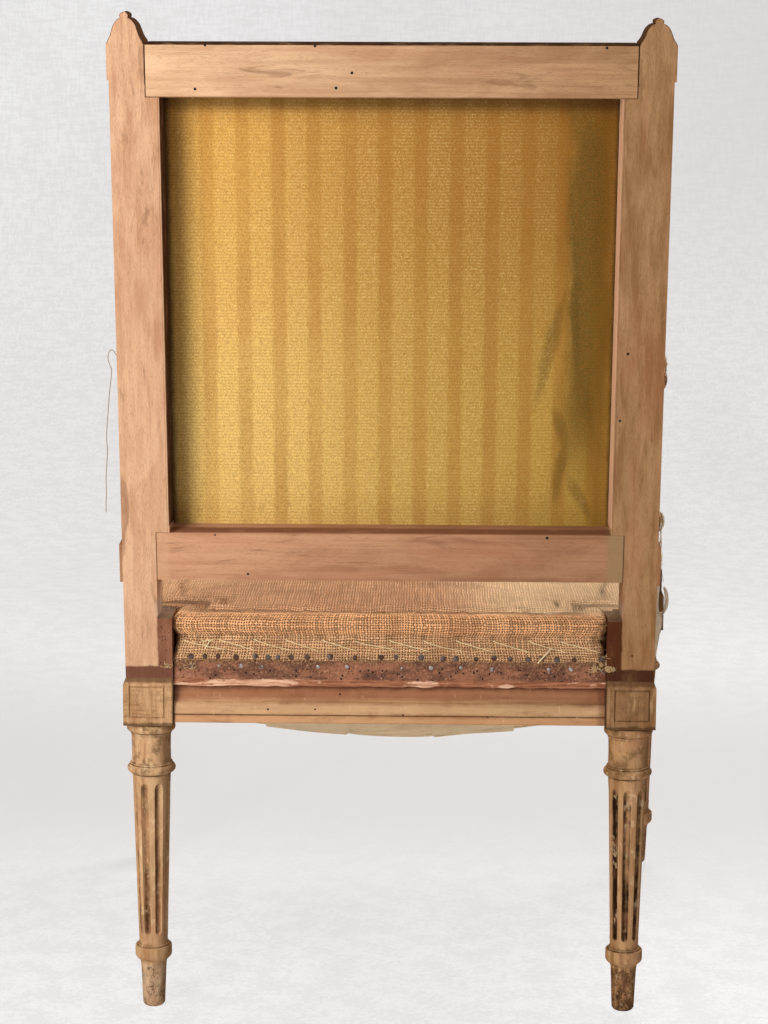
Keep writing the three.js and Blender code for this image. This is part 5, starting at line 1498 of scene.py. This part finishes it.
def steelMaterial(name, steel, rust, rustShare, rough):
    material, shader = newMaterial(name)
    plain = coordinates()
    patches = noiseAt(plain, 160, 5, 0.65)
    mask = mapRange(patches, 0.62 - rustShare * 0.3, 0.72 - rustShare * 0.3)
    grain = noiseAt(plain, 1400, 2, 0.7)
    tint = mixColor(mapRange(grain, 0.3, 0.7), rust, rgb(66, 38, 24))
    dress(shader, mixColor(mask, steel, tint), bumpNode(grain, 0.0002, 0.4), {
        "Metallic": mapRange(mask, 0.0, 1.0, 0.75, 0.1), "Roughness": mapRange(mask, 0.0, 1.0, rough, 0.9),
    })
    return material


springSteel = steelMaterial("spring steel", rgb(132, 120, 108), rgb(126, 72, 40), 0.5, 0.42)
tackSteel = steelMaterial("tack iron", rgb(104, 94, 88), rgb(92, 62, 46), 0.62, 0.6)
stubSteel = steelMaterial("stub iron", rgb(168, 158, 150), rgb(120, 92, 76), 0.35, 0.45)
for row in range(1, 4):
    for k in range(1, 4):
        smoothNode(dressNode(f"spring_{row}_{k}", springSteel), "round", 1)


def makeCanvas():
    bm = copyOfNode("spring_canvas")
    layer = dirtAndShadeLayer(bm)
    bmesh.ops.subdivide_edges(bm, edges=bm.edges[:], cuts=2, use_grid_fill=True)
    bmesh.ops.triangulate(bm, faces=[f for f in bm.faces if len(f.verts) > 4])
    area = sum(face.calc_area() for face in bm.faces if abs(face.normal.z) > 0.5) / 2
    for vert in bm.verts:
        vert[layer] = 0.12
    piece = newObject("spring_cloth", bm, [burlapMaterial("spring canvas", threads=420,
                                                          light=rgb(206, 172, 126))])
    print(f"canvas area {area:.4f}")
    place(piece, ["spring_canvas"])


makeCanvas()
print("webbing, springs and canvas done")


# padded burlap, swollen by a cloth simulation

clothSettings = {
    "use_pressure": True, "uniform_pressure_force": 4.0, "quality": 5, "mass": 0.3, "tension_stiffness": 15,
    "compression_stiffness": 15, "bending_stiffness": 0.5, "vertex_group_mass": "held",
}
puffFrames = 20


def applyModifiers(piece):
    graph = bpy.context.evaluated_depsgraph_get()
    mesh = bpy.data.meshes.new_from_object(piece.evaluated_get(graph))
    piece.modifiers.clear()
    piece.data = mesh
    return mesh


# toPad places the pad's own axes, held tells which points stay, and none moves further than cap
def puffPad(name, node, toPad, shrink, voxel, cap, held):
    bm = copyOfNode(node)
    back = toPad.inverted()
    centre = sum((back @ v.co for v in bm.verts), Vector()) / len(bm.verts)
    for vert in bm.verts:
        local = back @ vert.co
        vert.co = toPad @ Vector(tuple(centre[i] + (local[i] - centre[i]) * shrink[i] for i in range(3)))
    piece = newObject(name, bm, [])
    remesh = piece.modifiers.new("remesh", "REMESH")
    remesh.mode = "VOXEL"
    remesh.voxel_size = voxel
    mesh = applyModifiers(piece)
    start = [v.co.copy() for v in mesh.vertices]
    group = piece.vertex_groups.new(name="held")
    group.add([v.index for v in mesh.vertices if held(back @ v.co)], 1.0, "REPLACE")
    cloth = piece.modifiers.new("cloth", "CLOTH")
    for title, value in clothSettings.items():
        setattr(cloth.settings, title, value)
    cloth.settings.effector_weights.gravity = 0
    cloth.collision_settings.use_collision = False
    cloth.point_cache.frame_start = 1
    cloth.point_cache.frame_end = puffFrames
    scene = bpy.context.scene
    for moment in range(1, puffFrames + 1):
        scene.frame_set(moment)
    swollen = applyModifiers(piece)
    scene.frame_set(1)
    for vert, before in zip(swollen.vertices, start):
        step = vert.co - before
        if step.length > cap:
            vert.co = before + step.normalized() * cap
    return piece


def finishPad(piece, relief, material, node):
    bm = bmesh.new()
    bm.from_mesh(piece.data)
    layer = dirtAndShadeLayer(bm)
    bmesh.ops.subdivide_edges(bm, edges=bm.edges[:], cuts=1, use_grid_fill=True, smooth=0.6)
    bm.normal_update()
    moves = [relief(vert.co, vert.normal) for vert in bm.verts]
    for vert, (move, dirtAndShade) in zip(bm.verts, moves):
        vert.co += vert.normal * move
        vert[layer] = dirtAndShade
    for face in bm.faces:
        face.smooth = True
    bm.to_mesh(piece.data)
    bm.free()
    piece.data.materials.append(material)
    place(piece, [node])


# inside back: a stitched pad with a firm edge roll and four rows of bridle stitches
backPadShape = {
    "rearFace": -0.0205, "held": 0.009, "shrink": (0.985, 0.86, 0.985), "voxel": 0.006, "cap": 0.010,
    "seam": 0.024, "rows": (-0.12, -0.04, 0.04, 0.12), "stitchPitch": 0.062,
}


def makeInsideBack():
    s = backPadShape
    toWorld = backFrame()
    back = toWorld.inverted()
    low, high, reachX = (panelShape[title] * mm for title in ("low", "high", "reachX"))
    piece = puffPad("inside_back_burlap", "back_stuffing", toWorld, s["shrink"], s["voxel"], s["cap"],
                    lambda p: p.y > s["rearFace"] - s["held"])

    def relief(co, normal):
        local = back @ co
        x, z = local.x, local.z - (low + high) / 2
        if (back.to_3x3() @ normal).y > -0.3:
            return 0.0, 0.1
        edge = min(reachX - abs(x), (high - low) / 2 - abs(z))
        seam = math.exp(-((edge - s["seam"]) / 0.004) ** 2)
        pull = 0.0
        for row in s["rows"]:
            off = z - row - 0.004 * noise.noise(Vector((x * 9, row * 40, 1)))
            pull += math.exp(-(off / 0.006) ** 2) * (0.5 + 0.5 * math.cos(2 * math.pi * x / s["stitchPitch"]))
        lump = noise.noise(co * 22) * 0.0018 + noise.noise(co * 70) * 0.0005
        # the dirt adds painted shade along the seam and in the stitch pulls
        return lump - 0.0026 * seam - 0.0022 * pull, 0.1 + 0.35 * seam + 0.25 * pull

    finishPad(piece, relief, burlapMaterial("burlap of the back", "xzy", 380), "back_stuffing")


armPadShape = {
    "rearTop": 0.657, "frontTop": 0.643, "sunk": 0.002, "held": 0.004, "shrink": (0.93, 0.97, 0.93),
    "voxel": 0.004, "cap": 0.007, "seam": 0.011,
}


def armTop(y):
    share = (rearAxisY - y) / legDepth
    return lerp(armPadShape["rearTop"], armPadShape["frontTop"], min(max(share, 0), 1)) - armPadShape["sunk"]


def makeArmPad(title):
    s = armPadShape
    node = f"arm_pad_{title}"
    piece = puffPad(f"arm_burlap_{title}", node, Matrix.Identity(4), s["shrink"], s["voxel"], s["cap"],
                    lambda p: p.z < armTop(p.y) + s["held"])

    def relief(co, normal):
        if normal.z < -0.4:
            return 0.0, 0.1
        stitch = math.exp(-((co.z - armTop(co.y) - s["seam"]) / 0.0025) ** 2)
        lump = noise.noise(co * 34) * 0.0013 + noise.noise(co * 95) * 0.0004
        # the dirt adds painted shade along the stitched seam
        return lump - 0.0012 * stitch, 0.1 + 0.4 * stitch

    finishPad(piece, relief, burlapMaterial(f"burlap of the arm {title}", threads=390), node)


makeInsideBack()
makeArmPad("left")
makeArmPad("right")
print("padded pieces done")


# tacks, stubs and holes, in millimetres

def addTack(bm, spot, outward, radius=3.1, height=1.3, seed=0):
    outward = Vector(outward).normalized()
    side = outward.orthogonal().normalized()
    other = outward.cross(side)
    spot = Vector(spot)
    rings = []
    for share, lift in ((0.96, -0.9), (1.0, 0.1), (0.92, 0.5), (0.66, 0.85), (0.3, 1.0)):
        ring = []
        for k in range(10):
            angle = 2 * math.pi * k / 10
            rough = 1 + 0.1 * noise.noise(Vector((math.cos(angle), math.sin(angle), seed)))
            out = side * math.cos(angle) + other * math.sin(angle)
            ring.append((spot + out * radius * share * rough * mm + outward * height * lift * mm, 0.0))
        rings.append(ring)
    addRings(bm, rings)


def addHole(bm, spot, outward, radius):
    addTack(bm, spot, outward, radius, 0.12, seed=spot[0] * 900)


tackShape = {
    "hemOut": 19.9, "hemHeight": 381, "stubHeight": 370.8, "strapHeight": 309.3, "strapEdge": 8,
    "strapLine": 7,
    "strapPitch": 15, "edgeGap": 0.012,
    "hem": [204.1, 189.7, 176.3, 157.8, 138.2, 124.8, 114.5, 101.1, 84.7, 61, 35.3, 8.6, -6.8, -32.5, -55.1,
            -68.4, -88.9, -107.4, -123.8, -142.3, -156.6, -172, -189.4, -217],
    "stubs": [229, 204.2, 175.3, 152.7, 132.1, 73.4, 43.5, -13, -42.8, -73.6, -105.5, -163.9, -186.5,
              -226.4],
    "bent": [(176.2, 372.6, 174.6, 370.0), (-163.2, 372, -164.6, 366.5), (-216, 371, -221, 366),
             (229.6, 373.4, 227.6, 368.5), (-229.5, 372, -224.6, 367.5), (-186, 371, -188.5, 368)],
}


# the middles of a lengthwise strap at its front and its rear end
def strapEnds(k):
    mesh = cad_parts[f"seat_strap_lengthwise_{k}"].data
    low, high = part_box(f"seat_strap_lengthwise_{k}")
    front = [v.co.x for v in mesh.vertices if v.co.y < low[1] + 0.012]
    rear = [v.co.x for v in mesh.vertices if v.co.y > high[1] - 0.012]
    return (sum(front) / len(front), sum(rear) / len(rear))


# rows of tacks under the rails, at both ends of each strap
def addStrapTacks(bm, dice):
    s = tackShape
    for way, along in (("lengthwise", 1), ("crosswise", 0)):
        for k in range(1, 6):
            low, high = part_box(f"seat_strap_{way}_{k}")
            middles = strapEnds(k) if along else [(low[1] + high[1]) / 2] * 2
            ends = ((low[along] + s["strapEdge"] * mm, 1), (high[along] - s["strapEdge"] * mm, -1))
            for middle, (edge, inward) in zip(middles, ends):
                for j, line in [(j, line) for j in range(5) for line in (0, 1)][:-1]:
                    spot = [0, 0, s["strapHeight"] * mm]
                    spot[along] = edge + inward * line * s["strapLine"] * mm
                    spot[1 - along] = middle + (j - 2 + 0.5 * line) * s["strapPitch"] * mm
                    addTack(bm, spot, (0, 0, -1), 2.9, 1.2, dice.random() * 9)


def makeTacks():
    s = tackShape
    dice = random.Random(11)
    bm = bmesh.new()
    faceY = rearAxisY + s["hemOut"] * mm
    for x in s["hem"]:
        spot = (x * mm, faceY + 0.5 * mm, (381.3 + dice.uniform(-0.7, 0.7)) * mm)
        addTack(bm, spot, (dice.uniform(-.12, .12), 1, 0.1), dice.uniform(2.6, 3.3), 0.7, dice.random() * 9)
    for side in (1, -1):
        for k in range(26):
            y = lerp(sideFront + s["edgeGap"], sideRear - s["edgeGap"], k / 25) + dice.uniform(-3, 3) * mm
            x = side * (sideX(y, s["hemOut"]) + 0.4 * mm)
            addTack(bm, (x, y, (s["hemHeight"] + dice.uniform(-1, 1)) * mm), (side, 0.1, 0.1),
                    dice.uniform(2.7, 3.4), 1.3, dice.random() * 9)
    for k in range(34):
        x = lerp(-frontReach + s["edgeGap"], frontReach - s["edgeGap"], k / 33) + dice.uniform(-3, 3) * mm
        y = plan["frontY"] - 20.3 * mm
        addTack(bm, (x, y, (s["hemHeight"] + dice.uniform(-1, 1)) * mm), (0, -1, 0.1),
                dice.uniform(2.7, 3.4), 1.3, dice.random() * 9)
    addStrapTacks(bm, dice)
    place(newObject("tacks", bm, [tackSteel], 50), [])
    # bent stubs of the older nails
    bm = bmesh.new()
    for x in s["stubs"]:
        spot = (x * mm, faceY - 0.3 * mm, (s["stubHeight"] + dice.uniform(-1.2, 1.2)) * mm)
        addTack(bm, spot, (dice.uniform(-.2, .2), 1, -0.1), dice.uniform(1.9, 2.9), 1.0, dice.random() * 9)
    for x, z, x2, z2 in s["bent"]:
        path = ((x, 0.3, z), ((x + x2) / 2, 1.5, (z + z2) / 2), (x2, 0.2, z2))
        addTube(bm, [(x3 * mm, faceY + out * mm, z3 * mm) for x3, out, z3 in path], 0.55 * mm, 6, 0.8)
    place(newObject("nail_stubs", bm, [stubSteel], 50), [])


holeShape = {
    "back": [(178, 319, 993.3), (72.8, 318.9, 992.7), (37.5, 316.2, 967.7), (52.8, 314.6, 953.5),
             (188.4, 314.5, 952.1), (-205.7, 318.8, 991.8), (176.7, 266, 510.8), (143.8, 261.5, 470.2),
             (-158.8, 265.9, 510.1), (-228.7, 279.1, 630.6), (-234.6, 286.5, 697.8), (-248.2, 252.3, 386.4)],
    "rail": [(125, 326.5), (76.4, 326.9), (50.7, 343), (206.7, 317.3), (-14.3, 321.4), (-101.9, 320.1)],
    "band": {"count": 135, "reach": 218, "rows": (359, 362.5, 365.5, 368),
             "sizes": (0.4, 0.5, 0.6, 0.8, 1.1)},
    "pads": 18,
}


def makeHoles():
    s = holeShape
    material, shader = newMaterial("old tack holes")
    # the holes are dark discs: iron stain and painted shade of their depth
    tone = noiseAt(coordinates(), 300, 3, 0.6)
    dress(shader, mixColor(tone, rgb(22, 13, 8), rgb(44, 27, 18)), bumpNode(tone, 0.0002, 0.5),
          {"Roughness": 0.95})
    dice = random.Random(5)
    bm = bmesh.new()
    tilt = backFrame().to_3x3() @ Vector((0, 1, 0))
    for x, y, z in s["back"]:
        addHole(bm, (x * mm, y * mm, z * mm), tilt, dice.uniform(1.0, 1.6))
    for x, z in s["rail"]:
        addHole(bm, (x * mm, rearAxisY + 21.9 * mm, z * mm), (0, 1, 0), dice.uniform(0.9, 1.3))
    band = s["band"]
    for k in range(band["count"]):
        x = dice.uniform(-band["reach"], band["reach"])
        z = dice.choice(band["rows"]) + dice.uniform(-1.6, 1.6)
        addHole(bm, (x * mm, rearAxisY + 19.5 * mm, z * mm), (0, 1, 0), dice.choice(band["sizes"]))
    for side in (1, -1):
        for k in range(s["pads"]):
            x = side * dice.uniform(225, 235.5)
            z = dice.uniform(365, 420)
            y = rearAxisY + (z - blockTop / mm) * mm * math.tan(rake) + 22.75 * mm
            addHole(bm, (x * mm, y, z * mm), tilt, dice.uniform(0.4, 0.8))
    place(newObject("tack_holes", bm, [material], 50), [])


makeTacks()
makeHoles()
print("tacks and holes done")


# twine stitches and frayed threads, in millimetres

twineShape = {
    "radius": 0.5, "pitch": 35.5, "low": 387, "high": 400.5, "slant": 36, "lift": 0.35,
    "knot": [  # a knot and two loops of twine: path and radius
        (((189.9, 396.7), (187.5, 398.4), (185.2, 397.2), (187.9, 392.5), (189.4, 389.2)), 0.75),
        (((187.6, 393.5), (183.0, 398.6), (181.2, 396.6)), 0.55),
        (((188.5, 391.5), (182.8, 390.6), (168, 388.6)), 0.5),
        (((192.4, 398.2), (190.4, 393.6), (188.6, 391)), 0.45),
    ],
    "splinter": [(-152.4, 2.8, 377.0), (-156.5, 3.2, 382), (-166.4, 3.6, 393.4)],
}


def twineMaterial(name, light, dark):
    material, shader = newMaterial(name)
    spin = noiseAt(coordinates(), (1300, 1300, 700), 3, 0.6)
    dress(shader, mixColor(mapRange(spin, 0.3, 0.7), dark, light), bumpNode(spin, 0.0002, 0.6),
          {"Roughness": 0.9})
    return material


# how far the seat's wall stands out at a height
def wallPoint(z, lift=0.4):
    for (inset, low), (inset2, high) in zip(seatShape["wall"], seatShape["wall"][1:]):
        if low <= z <= high:
            return seatShape["outer"] - lerp(inset, inset2, (z - low) / (high - low)) + lift
    return seatShape["outer"] + lift


def makeStitches():
    s = twineShape
    dice = random.Random(3)
    bm = bmesh.new()
    radius = s["radius"] * mm
    x = 212.0
    while x > -212:
        reach = dice.uniform(34, 44)
        points = []
        for k in range(9):
            share = k / 8
            z = lerp(398.5, 388.5, share ** 0.8) + 0.6 * math.sin(share * 4 + x)
            points.append(((x - reach * share) * mm, rearAxisY + wallPoint(z, 1.3) * mm, z * mm))
        if x > -190:
            addTube(bm, points, radius, 5, 0.8)
        x -= s["pitch"] + dice.uniform(-3, 3)
    # the stitches of the sides and the front: share of the length, height
    slant = [(k / 6, lerp(s["high"], s["low"], k / 6)) for k in range(7)]
    for side in (1, -1):
        y = sideRear - 0.02
        while y > sideFront + 0.05:
            spots = [(y - 0.036 * share, z) for share, z in slant]
            addTube(bm, [(side * sideX(at, wallPoint(z, s["lift"])), at, z * mm) for at, z in spots],
                    radius, 5, 0.8)
            y -= 0.0355
    x = -258.0
    while x < 262:
        addTube(bm, [((x + s["slant"] * share) * mm, plan["frontY"] - wallPoint(z, s["lift"]) * mm, z * mm)
                     for share, z in slant], radius, 5, 0.8)
        x += s["pitch"]
    faceY = rearAxisY + 18.5 * mm
    for path, thick in s["knot"]:
        addTube(bm, smoothCurve([(x * mm, faceY + 0.6 * mm, z * mm) for x, z in path], 10), thick * mm, 6,
                0.9)
    addTube(bm, [(x * mm, faceY + out * mm, z * mm) for x, out, z in s["splinter"]], 0.95 * mm, 6, 0.7)
    twine = twineMaterial("twine", rgb(244, 224, 180), rgb(206, 176, 128))
    place(newObject("twine_stitches", bm, [twine]), [])


def makeFray():
    dice = random.Random(8)
    bm = bmesh.new()
    for k in range(420):
        x = dice.uniform(-222, 222)
        z = 378.5 + dice.uniform(-0.8, 1.0)
        length = dice.uniform(2.5, 8.5) if dice.random() > 0.12 else dice.uniform(9, 18)
        lean = dice.uniform(-1.2, 1.2)
        fall = 0.55 if abs(lean) > 0.6 else 0.9
        points = []
        for j in range(4):
            share = j / 3
            points.append(((x + lean * length * share) * mm,
                           rearAxisY + (20.6 + 0.5 * math.sin(share * 3)) * mm,
                           (z - length * share * fall) * mm))
        addTube(bm, points, dice.uniform(0.13, 0.26) * mm, 3, 0.6)
    # torn ends by the right post
    for k in range(90):
        z = dice.uniform(383, 424)
        x = -dice.uniform(209, 217)
        out = wallPoint(z) + 0.3
        length = dice.uniform(3, 9)
        rise = dice.uniform(-4, 4)
        points = [((x - length * j / 3) * mm, rearAxisY + (out - 0.5 * j) * mm, (z + rise * j / 3) * mm)
                  for j in range(4)]
        addTube(bm, points, dice.uniform(0.14, 0.3) * mm, 3, 0.6)
    frayed = twineMaterial("frayed burlap", rgb(214, 170, 124), rgb(150, 108, 70))
    place(newObject("frayed_threads", bm, [frayed]), [])


makeStitches()
makeFray()


# torn cloth that hangs out at the right side, seen past the stile
flapShapes = {
    "seat_flap_outer": {"y": -33, "left": [(-311.0, 407.7), (-314.6, 403.0), (-316.6, 394.9),
                                           (-316.6, 386.7),
                                           (-314.0, 378.5), (-310.7, 373.8), (-309.0, 372.6)],
                        "right": [(-309.9, 405.3), (-311.7, 398.3), (-312.1, 391.3), (-311.6, 384.3),
                                  (-310.6, 378.4),
                                  (-309.5, 374.9), (-308.4, 372.6)]},
    "seat_flap_inner": {"y": -33, "left": [(-306.6, 411.1), (-305.9, 400.6), (-305.1, 387.7),
                                           (-306.4, 374.9)],
                        "right": [(-302.4, 410.0), (-302.4, 400.6), (-302.0, 387.8), (-301.4, 374.9)]},
    "corner_scrap": {"y": -273.8, "left": [(-332.0, 457.6), (-335.5, 453.8), (-336.8, 446.8),
                                           (-335.4, 439.2), (-332.4, 433.8)],
                     "right": [(-325.1, 459.3), (-330.0, 453.3), (-333.7, 447.4), (-332.7, 440.3),
                               (-328.9, 433.8)]},
    "corner_hollow_shade": {"y": -275.5, "left": [(-326.2, 459.8), (-331.0, 453.3), (-332.2, 444.6),
                                            (-330.5, 436), (-326.7, 426.3)],
                      "right": [(-313.0, 459.8), (-312.0, 453.3), (-311.0, 444.6), (-312.0, 436.0),
                                (-313.6, 426.3)]},
    "seat_strip": {"y": -34, "left": [(-309.9, 377.1), (-309.7, 364.4), (-307.7, 351.4), (-305.5, 337.3),
                                      (-303.7, 324.4)],
                   "right": [(-300.9, 377.2), (-300.9, 365.5), (-300.5, 351.4), (-300.4, 337.3),
                             (-300.6, 324.3)]},
}
flapLook = {
    "muslin": {"light": rgb(255, 226, 186), "dark": rgb(214, 164, 118), "gaps": 0.12},
    # a dark cloth that stands in for the shade in the corner hollow
    "painted shade lining": {"light": rgb(92, 58, 36), "dark": rgb(48, 28, 18), "gaps": 0.4},
    "along": 26, "across": 6, "thick": 0.7, "leastWide": 0.011,
}


def flapMaterial(cloth):
    return burlapMaterial(f"torn {cloth}", threads=900, wander=0.001, **flapLook[cloth])


def makeFlap(title, shape, material):
    s = flapLook
    left, right = (smoothCurve([(x * mm, 0, z * mm) for x, z in shape[edge]], s["along"])
                   for edge in ("left", "right"))

    def spotAt(i, j, back):
        share = j / s["across"]
        spot = left[i].lerp(right[i], share)
        curl = math.sin(math.pi * share) * 2.0 + 1.5 * noise.noise(spot * 90)
        onEdge = share in (0, 1)
        jag = 0.5 * noise.noise(Vector((i * 1.7, share * 9, 3))) if onEdge else 0
        y = shape["y"] + curl - s["thick"] * back
        return (spot.x + jag * mm, y * mm, spot.z), 0.5 if onEdge else 0.08

    bm = bmesh.new()
    area = addSheet(bm, s["along"], s["across"], spotAt)
    piece = newObject(title, bm, [material])
    wide = max(s["leastWide"], max(abs(a.x - b.x) for a, b in zip(left, right)) + 0.001)
    place(piece, [])


def makeFlaps():
    muslin = flapMaterial("muslin")
    thin = muslin.node_tree.nodes["Principled BSDF"]
    thin.inputs["Subsurface Weight"].default_value = 0.3
    thin.inputs["Subsurface Radius"].default_value = (1.0, 0.85, 0.65)
    thin.inputs["Subsurface Scale"].default_value = 0.012
    lining = flapMaterial("painted shade lining")
    for title, shape in flapShapes.items():
        # the corner hollow gets the dark cloth as painted shade
        makeFlap(title, shape, lining if title == "corner_hollow_shade" else muslin)


# loose fibres and a scrap by the right arm pad and the seat corner, in millimetres
scrapShape = {
    "supportY": -273.6, "padY": 6,
    "support": [  # path and radius
        (((-330.6, 456.9), (-332.7, 455.6), (-334.1, 451.8), (-333.4, 444.2), (-331.9, 437.8),
          (-331.5, 434)), 0.5),
        (((-330.9, 449.5), (-333.5, 447.9), (-332.7, 440.3), (-331.7, 434.0)), 0.45),
        (((-331.7, 436.6), (-333.4, 415), (-331.8, 403.7), (-332.8, 387.1), (-335.5, 378.2),
          (-337.0, 369.3)), 0.5),
    ],
    "pad": [
        (((-299.5, 675.0), (-301.9, 672.7), (-303.6, 666.0), (-303.3, 657.1), (-304.6, 650.4),
          (-302.9, 643.7)), 0.8),
        (((-300.5, 668.0), (-302.9, 661.7), (-301.6, 655.0), (-304.3, 648.1)), 0.9),
    ],
    "frayed": [(-331.5, 444, 457, 54), (-332.0, 384, 404, 60), (-332.5, 366, 374, 26),
               (-331.0, 404, 440, 40)],
    "tangles": [(-226.5, 371.5, 60), (-210.0, 370.5, 34), (-219.5, 373.5, 22), (227.9, 371.5, 26),
                (205.5, 371.2, 16), (-224.5, 384.0, 20)],
}


def makeScraps():
    s = scrapShape
    dice = random.Random(21)
    bm = bmesh.new()
    for where in ("support", "pad"):
        y = s[where + "Y"]
        for path, thick in s[where]:
            addTube(bm, smoothCurve([(x * mm, y * mm, z * mm) for x, z in path], 24), thick * mm, 6, 0.6)

    # three points of a fibre that runs outwards from a place
    def fibre(x, y, z, step, spread, deep):
        return [((x - step * j + dice.uniform(-spread, spread)) * mm, (y + dice.uniform(-deep, deep)) * mm,
                 (z + dice.uniform(-2.5, 2.5)) * mm) for j in range(3)]

    for k in range(60):
        z = dice.uniform(643, 674)
        x = -299.5 - dice.uniform(0, 2.5)
        addTube(bm, fibre(x, s["padY"], z, 1.6, 0.8, 3), 0.22 * mm, 4, 0.7)
    # frayed edge of the scraps by the arm support
    for x, low, high, count in s["frayed"]:
        for k in range(count):
            points = fibre(x, s["supportY"], dice.uniform(low, high), 1.3, 0.9, 2.5)
            addTube(bm, points, dice.uniform(0.18, 0.32) * mm, 4, 0.7)
    # pale tangles left under old tacks
    for x, z, count in s["tangles"]:
        for k in range(count):
            spot = Vector((x + dice.uniform(-3.6, 3.6), rearAxisY / mm + dice.uniform(23.2, 25.2),
                           z + dice.uniform(-3, 3)))
            turn = dice.uniform(0, math.pi)
            step = Vector((math.cos(turn), dice.uniform(-0.2, 0.2), math.sin(turn))) * dice.uniform(0.8, 1.9)
            points = [(spot + step * j + Vector((0, 0.5 * math.sin(j * 2), 0.5 * math.cos(j * 1.7)))) * mm
                      for j in range(4)]
            addTube(bm, points, dice.uniform(0.16, 0.34) * mm, 4, 0.7)
    pale = twineMaterial("pale fibre", rgb(240, 214, 160), rgb(186, 146, 100))
    place(newObject("loose_scraps", bm, [pale]), [])


makeFlaps()
makeScraps()
print("stitches and fray done")


# stage and lights

stageShape = {"width": 6.0, "near": 12.0, "far": -3.6, "curve": 1.0, "top": 5.0}


def makeStage():
    s = stageShape
    bm = bmesh.new()
    dirtAndShadeLayer(bm)
    profile = [(s["near"], 0.0), (s["far"] + s["curve"], 0.0)]
    for k in range(1, 17):
        angle = math.pi / 2 * k / 16
        profile.append((s["far"] + s["curve"] * (1 - math.sin(angle)), s["curve"] * (1 - math.cos(angle))))
    profile.append((s["far"], s["top"]))
    rows = [[bm.verts.new((x, y, z)) for y, z in profile] for x in (-s["width"], s["width"])]
    for k in range(len(profile) - 1):
        bm.faces.new((rows[0][k], rows[1][k], rows[1][k + 1], rows[0][k + 1]))
    sweep = newObject("sweep", bm, [sweepMaterial()])
    for face in sweep.data.polygons:
        face.use_smooth = True


# each layer: value, its range, the share at both ends and the tint
def layered(color, layers):
    for value, low, high, start, end, tint in layers:
        color = mixColor(mapRange(value, low, high, start, end), color, tint)
    return color


def sweepMaterial():
    material, shader = newMaterial("pale sweep")
    plain = coordinates()
    x, y, z = axes(plain)
    cloth = noiseAt(plain, 2.2, 4, 0.55)
    weave = noiseAt(plain, 340, 3, 0.7)

    def sideways(left, right, reach):
        return groupNode(paintedFalloffGroup, Vector=plain, Left=left, Right=right, Reach=reach).outputs[0]

    color = layered(sideways(rgb(240, 239, 239), rgb(230, 227, 228), 0.6), [
        (cloth, 0.3, 0.7, 0.0, 0.35, rgb(228, 226, 226)), (weave, 0.35, 0.65, 0.0, 0.2, rgb(214, 212, 212))])
    # what the camera sees shines by itself, so the backdrop stays as pale as the photo's
    # the backdrop runs from white on the left to grey on the right: painted light falloff
    paintedBackdropFalloff = sideways(rgb(255, 255, 255), rgb(228, 223, 224), 1.1)
    # darker in soft creases of the cloth: painted shade
    creaseShade = noiseAt(plain, (2.4, 0.7, 1.4), 4, 0.5, 0.3, shift=(3, 1, 2))
    level = noiseAt(plain, (26, 26, 130), 2, 0.5)
    upright = noiseAt(plain, (130, 130, 26), 2, 0.5)
    shown = layered(rgb(246, 243, 241), [(z, 0.25, 1.1, 0.0, 1.0, paintedBackdropFalloff)])
    # darker over the floor from 1.7 m behind onwards, painted shade, then paler towards the front, painted
    # light
    shown = mixColor(mapRange(y, -1.7, -0.75), shown, rgb(218, 214, 212))
    shown = layered(shown, [
        (y, -0.6, 0.2, 0.0, 1.0, rgb(252, 251, 251)), (creaseShade, 0.42, 0.7, 0.0, 0.3, rgb(224, 221, 220)),
        (weave, 0.35, 0.65, 0.0, 0.4, rgb(222, 220, 219)),
        (plus(level, upright), 0.86, 1.14, 0.0, 0.3, rgb(216, 214, 213))])
    seen = newNode("LightPath").outputs
    mirrored = mathNode("MAXIMUM", seen["Is Glossy Ray"], seen["Is Transmission Ray"])
    direct = mathNode("MAXIMUM", seen["Is Camera Ray"], mirrored)
    dress(shader, mixColor(direct, color, rgb(92, 90, 90)), bumpNode(cloth, 0.01, 0.2), {
        "Roughness": 0.9, "Specular IOR Level": 0.1, "Emission Color": shown,
        "Emission Strength": times(direct, 0.86),
    })
    return material


lampSetup = [
    {"name": "window side", "place": (0.92, 1.4, 1.0), "aim": (0.0, 0.25, 0.6), "size": (0.55, 1.2),
     "power": 23.5,
     "color": (1.0, 0.985, 0.955)},
    {"name": "far side", "place": (-1.6, 1.6, 1.5), "aim": (0, 0.2, 0.5), "size": (1.2, 1.4), "power": 4,
     "color": (0.95, 0.97, 1.0)},
    {"name": "front", "place": (-0.55, -1.15, 1.9), "aim": (-0.05, 0.15, 0.4), "size": (0.9, 0.9),
     "power": 52,
     "color": (1.0, 0.99, 0.975)},
]


def makeLights():
    for setup in lampSetup:
        data = bpy.data.lights.new(setup["name"], "AREA")
        data.shape = "RECTANGLE"
        data.size, data.size_y = setup["size"]
        data.energy = setup["power"]
        data.color = setup["color"]
        lamp = addObject(setup["name"], data)
        lamp.location = setup["place"]
        aim = Vector(setup["aim"]) - Vector(setup["place"])
        lamp.rotation_euler = aim.to_track_quat("-Z", "Y").to_euler()
    world = bpy.data.worlds.new("soft room")
    world.use_nodes = True
    current["tree"] = world.node_tree
    background = world.node_tree.nodes["Background"]
    background.inputs["Color"].default_value = (0.97, 0.98, 1.0, 1.0)
    seen = newNode("LightPath")
    setOrWire(mapRange(seen.outputs["Is Camera Ray"], 0.0, 1.0, 0.29, 0.84), background.inputs["Strength"])
    bpy.context.scene.world = world
    bpy.context.scene.view_settings.view_transform = "Standard"


makeStage()
makeLights()
print("stage and lights done")
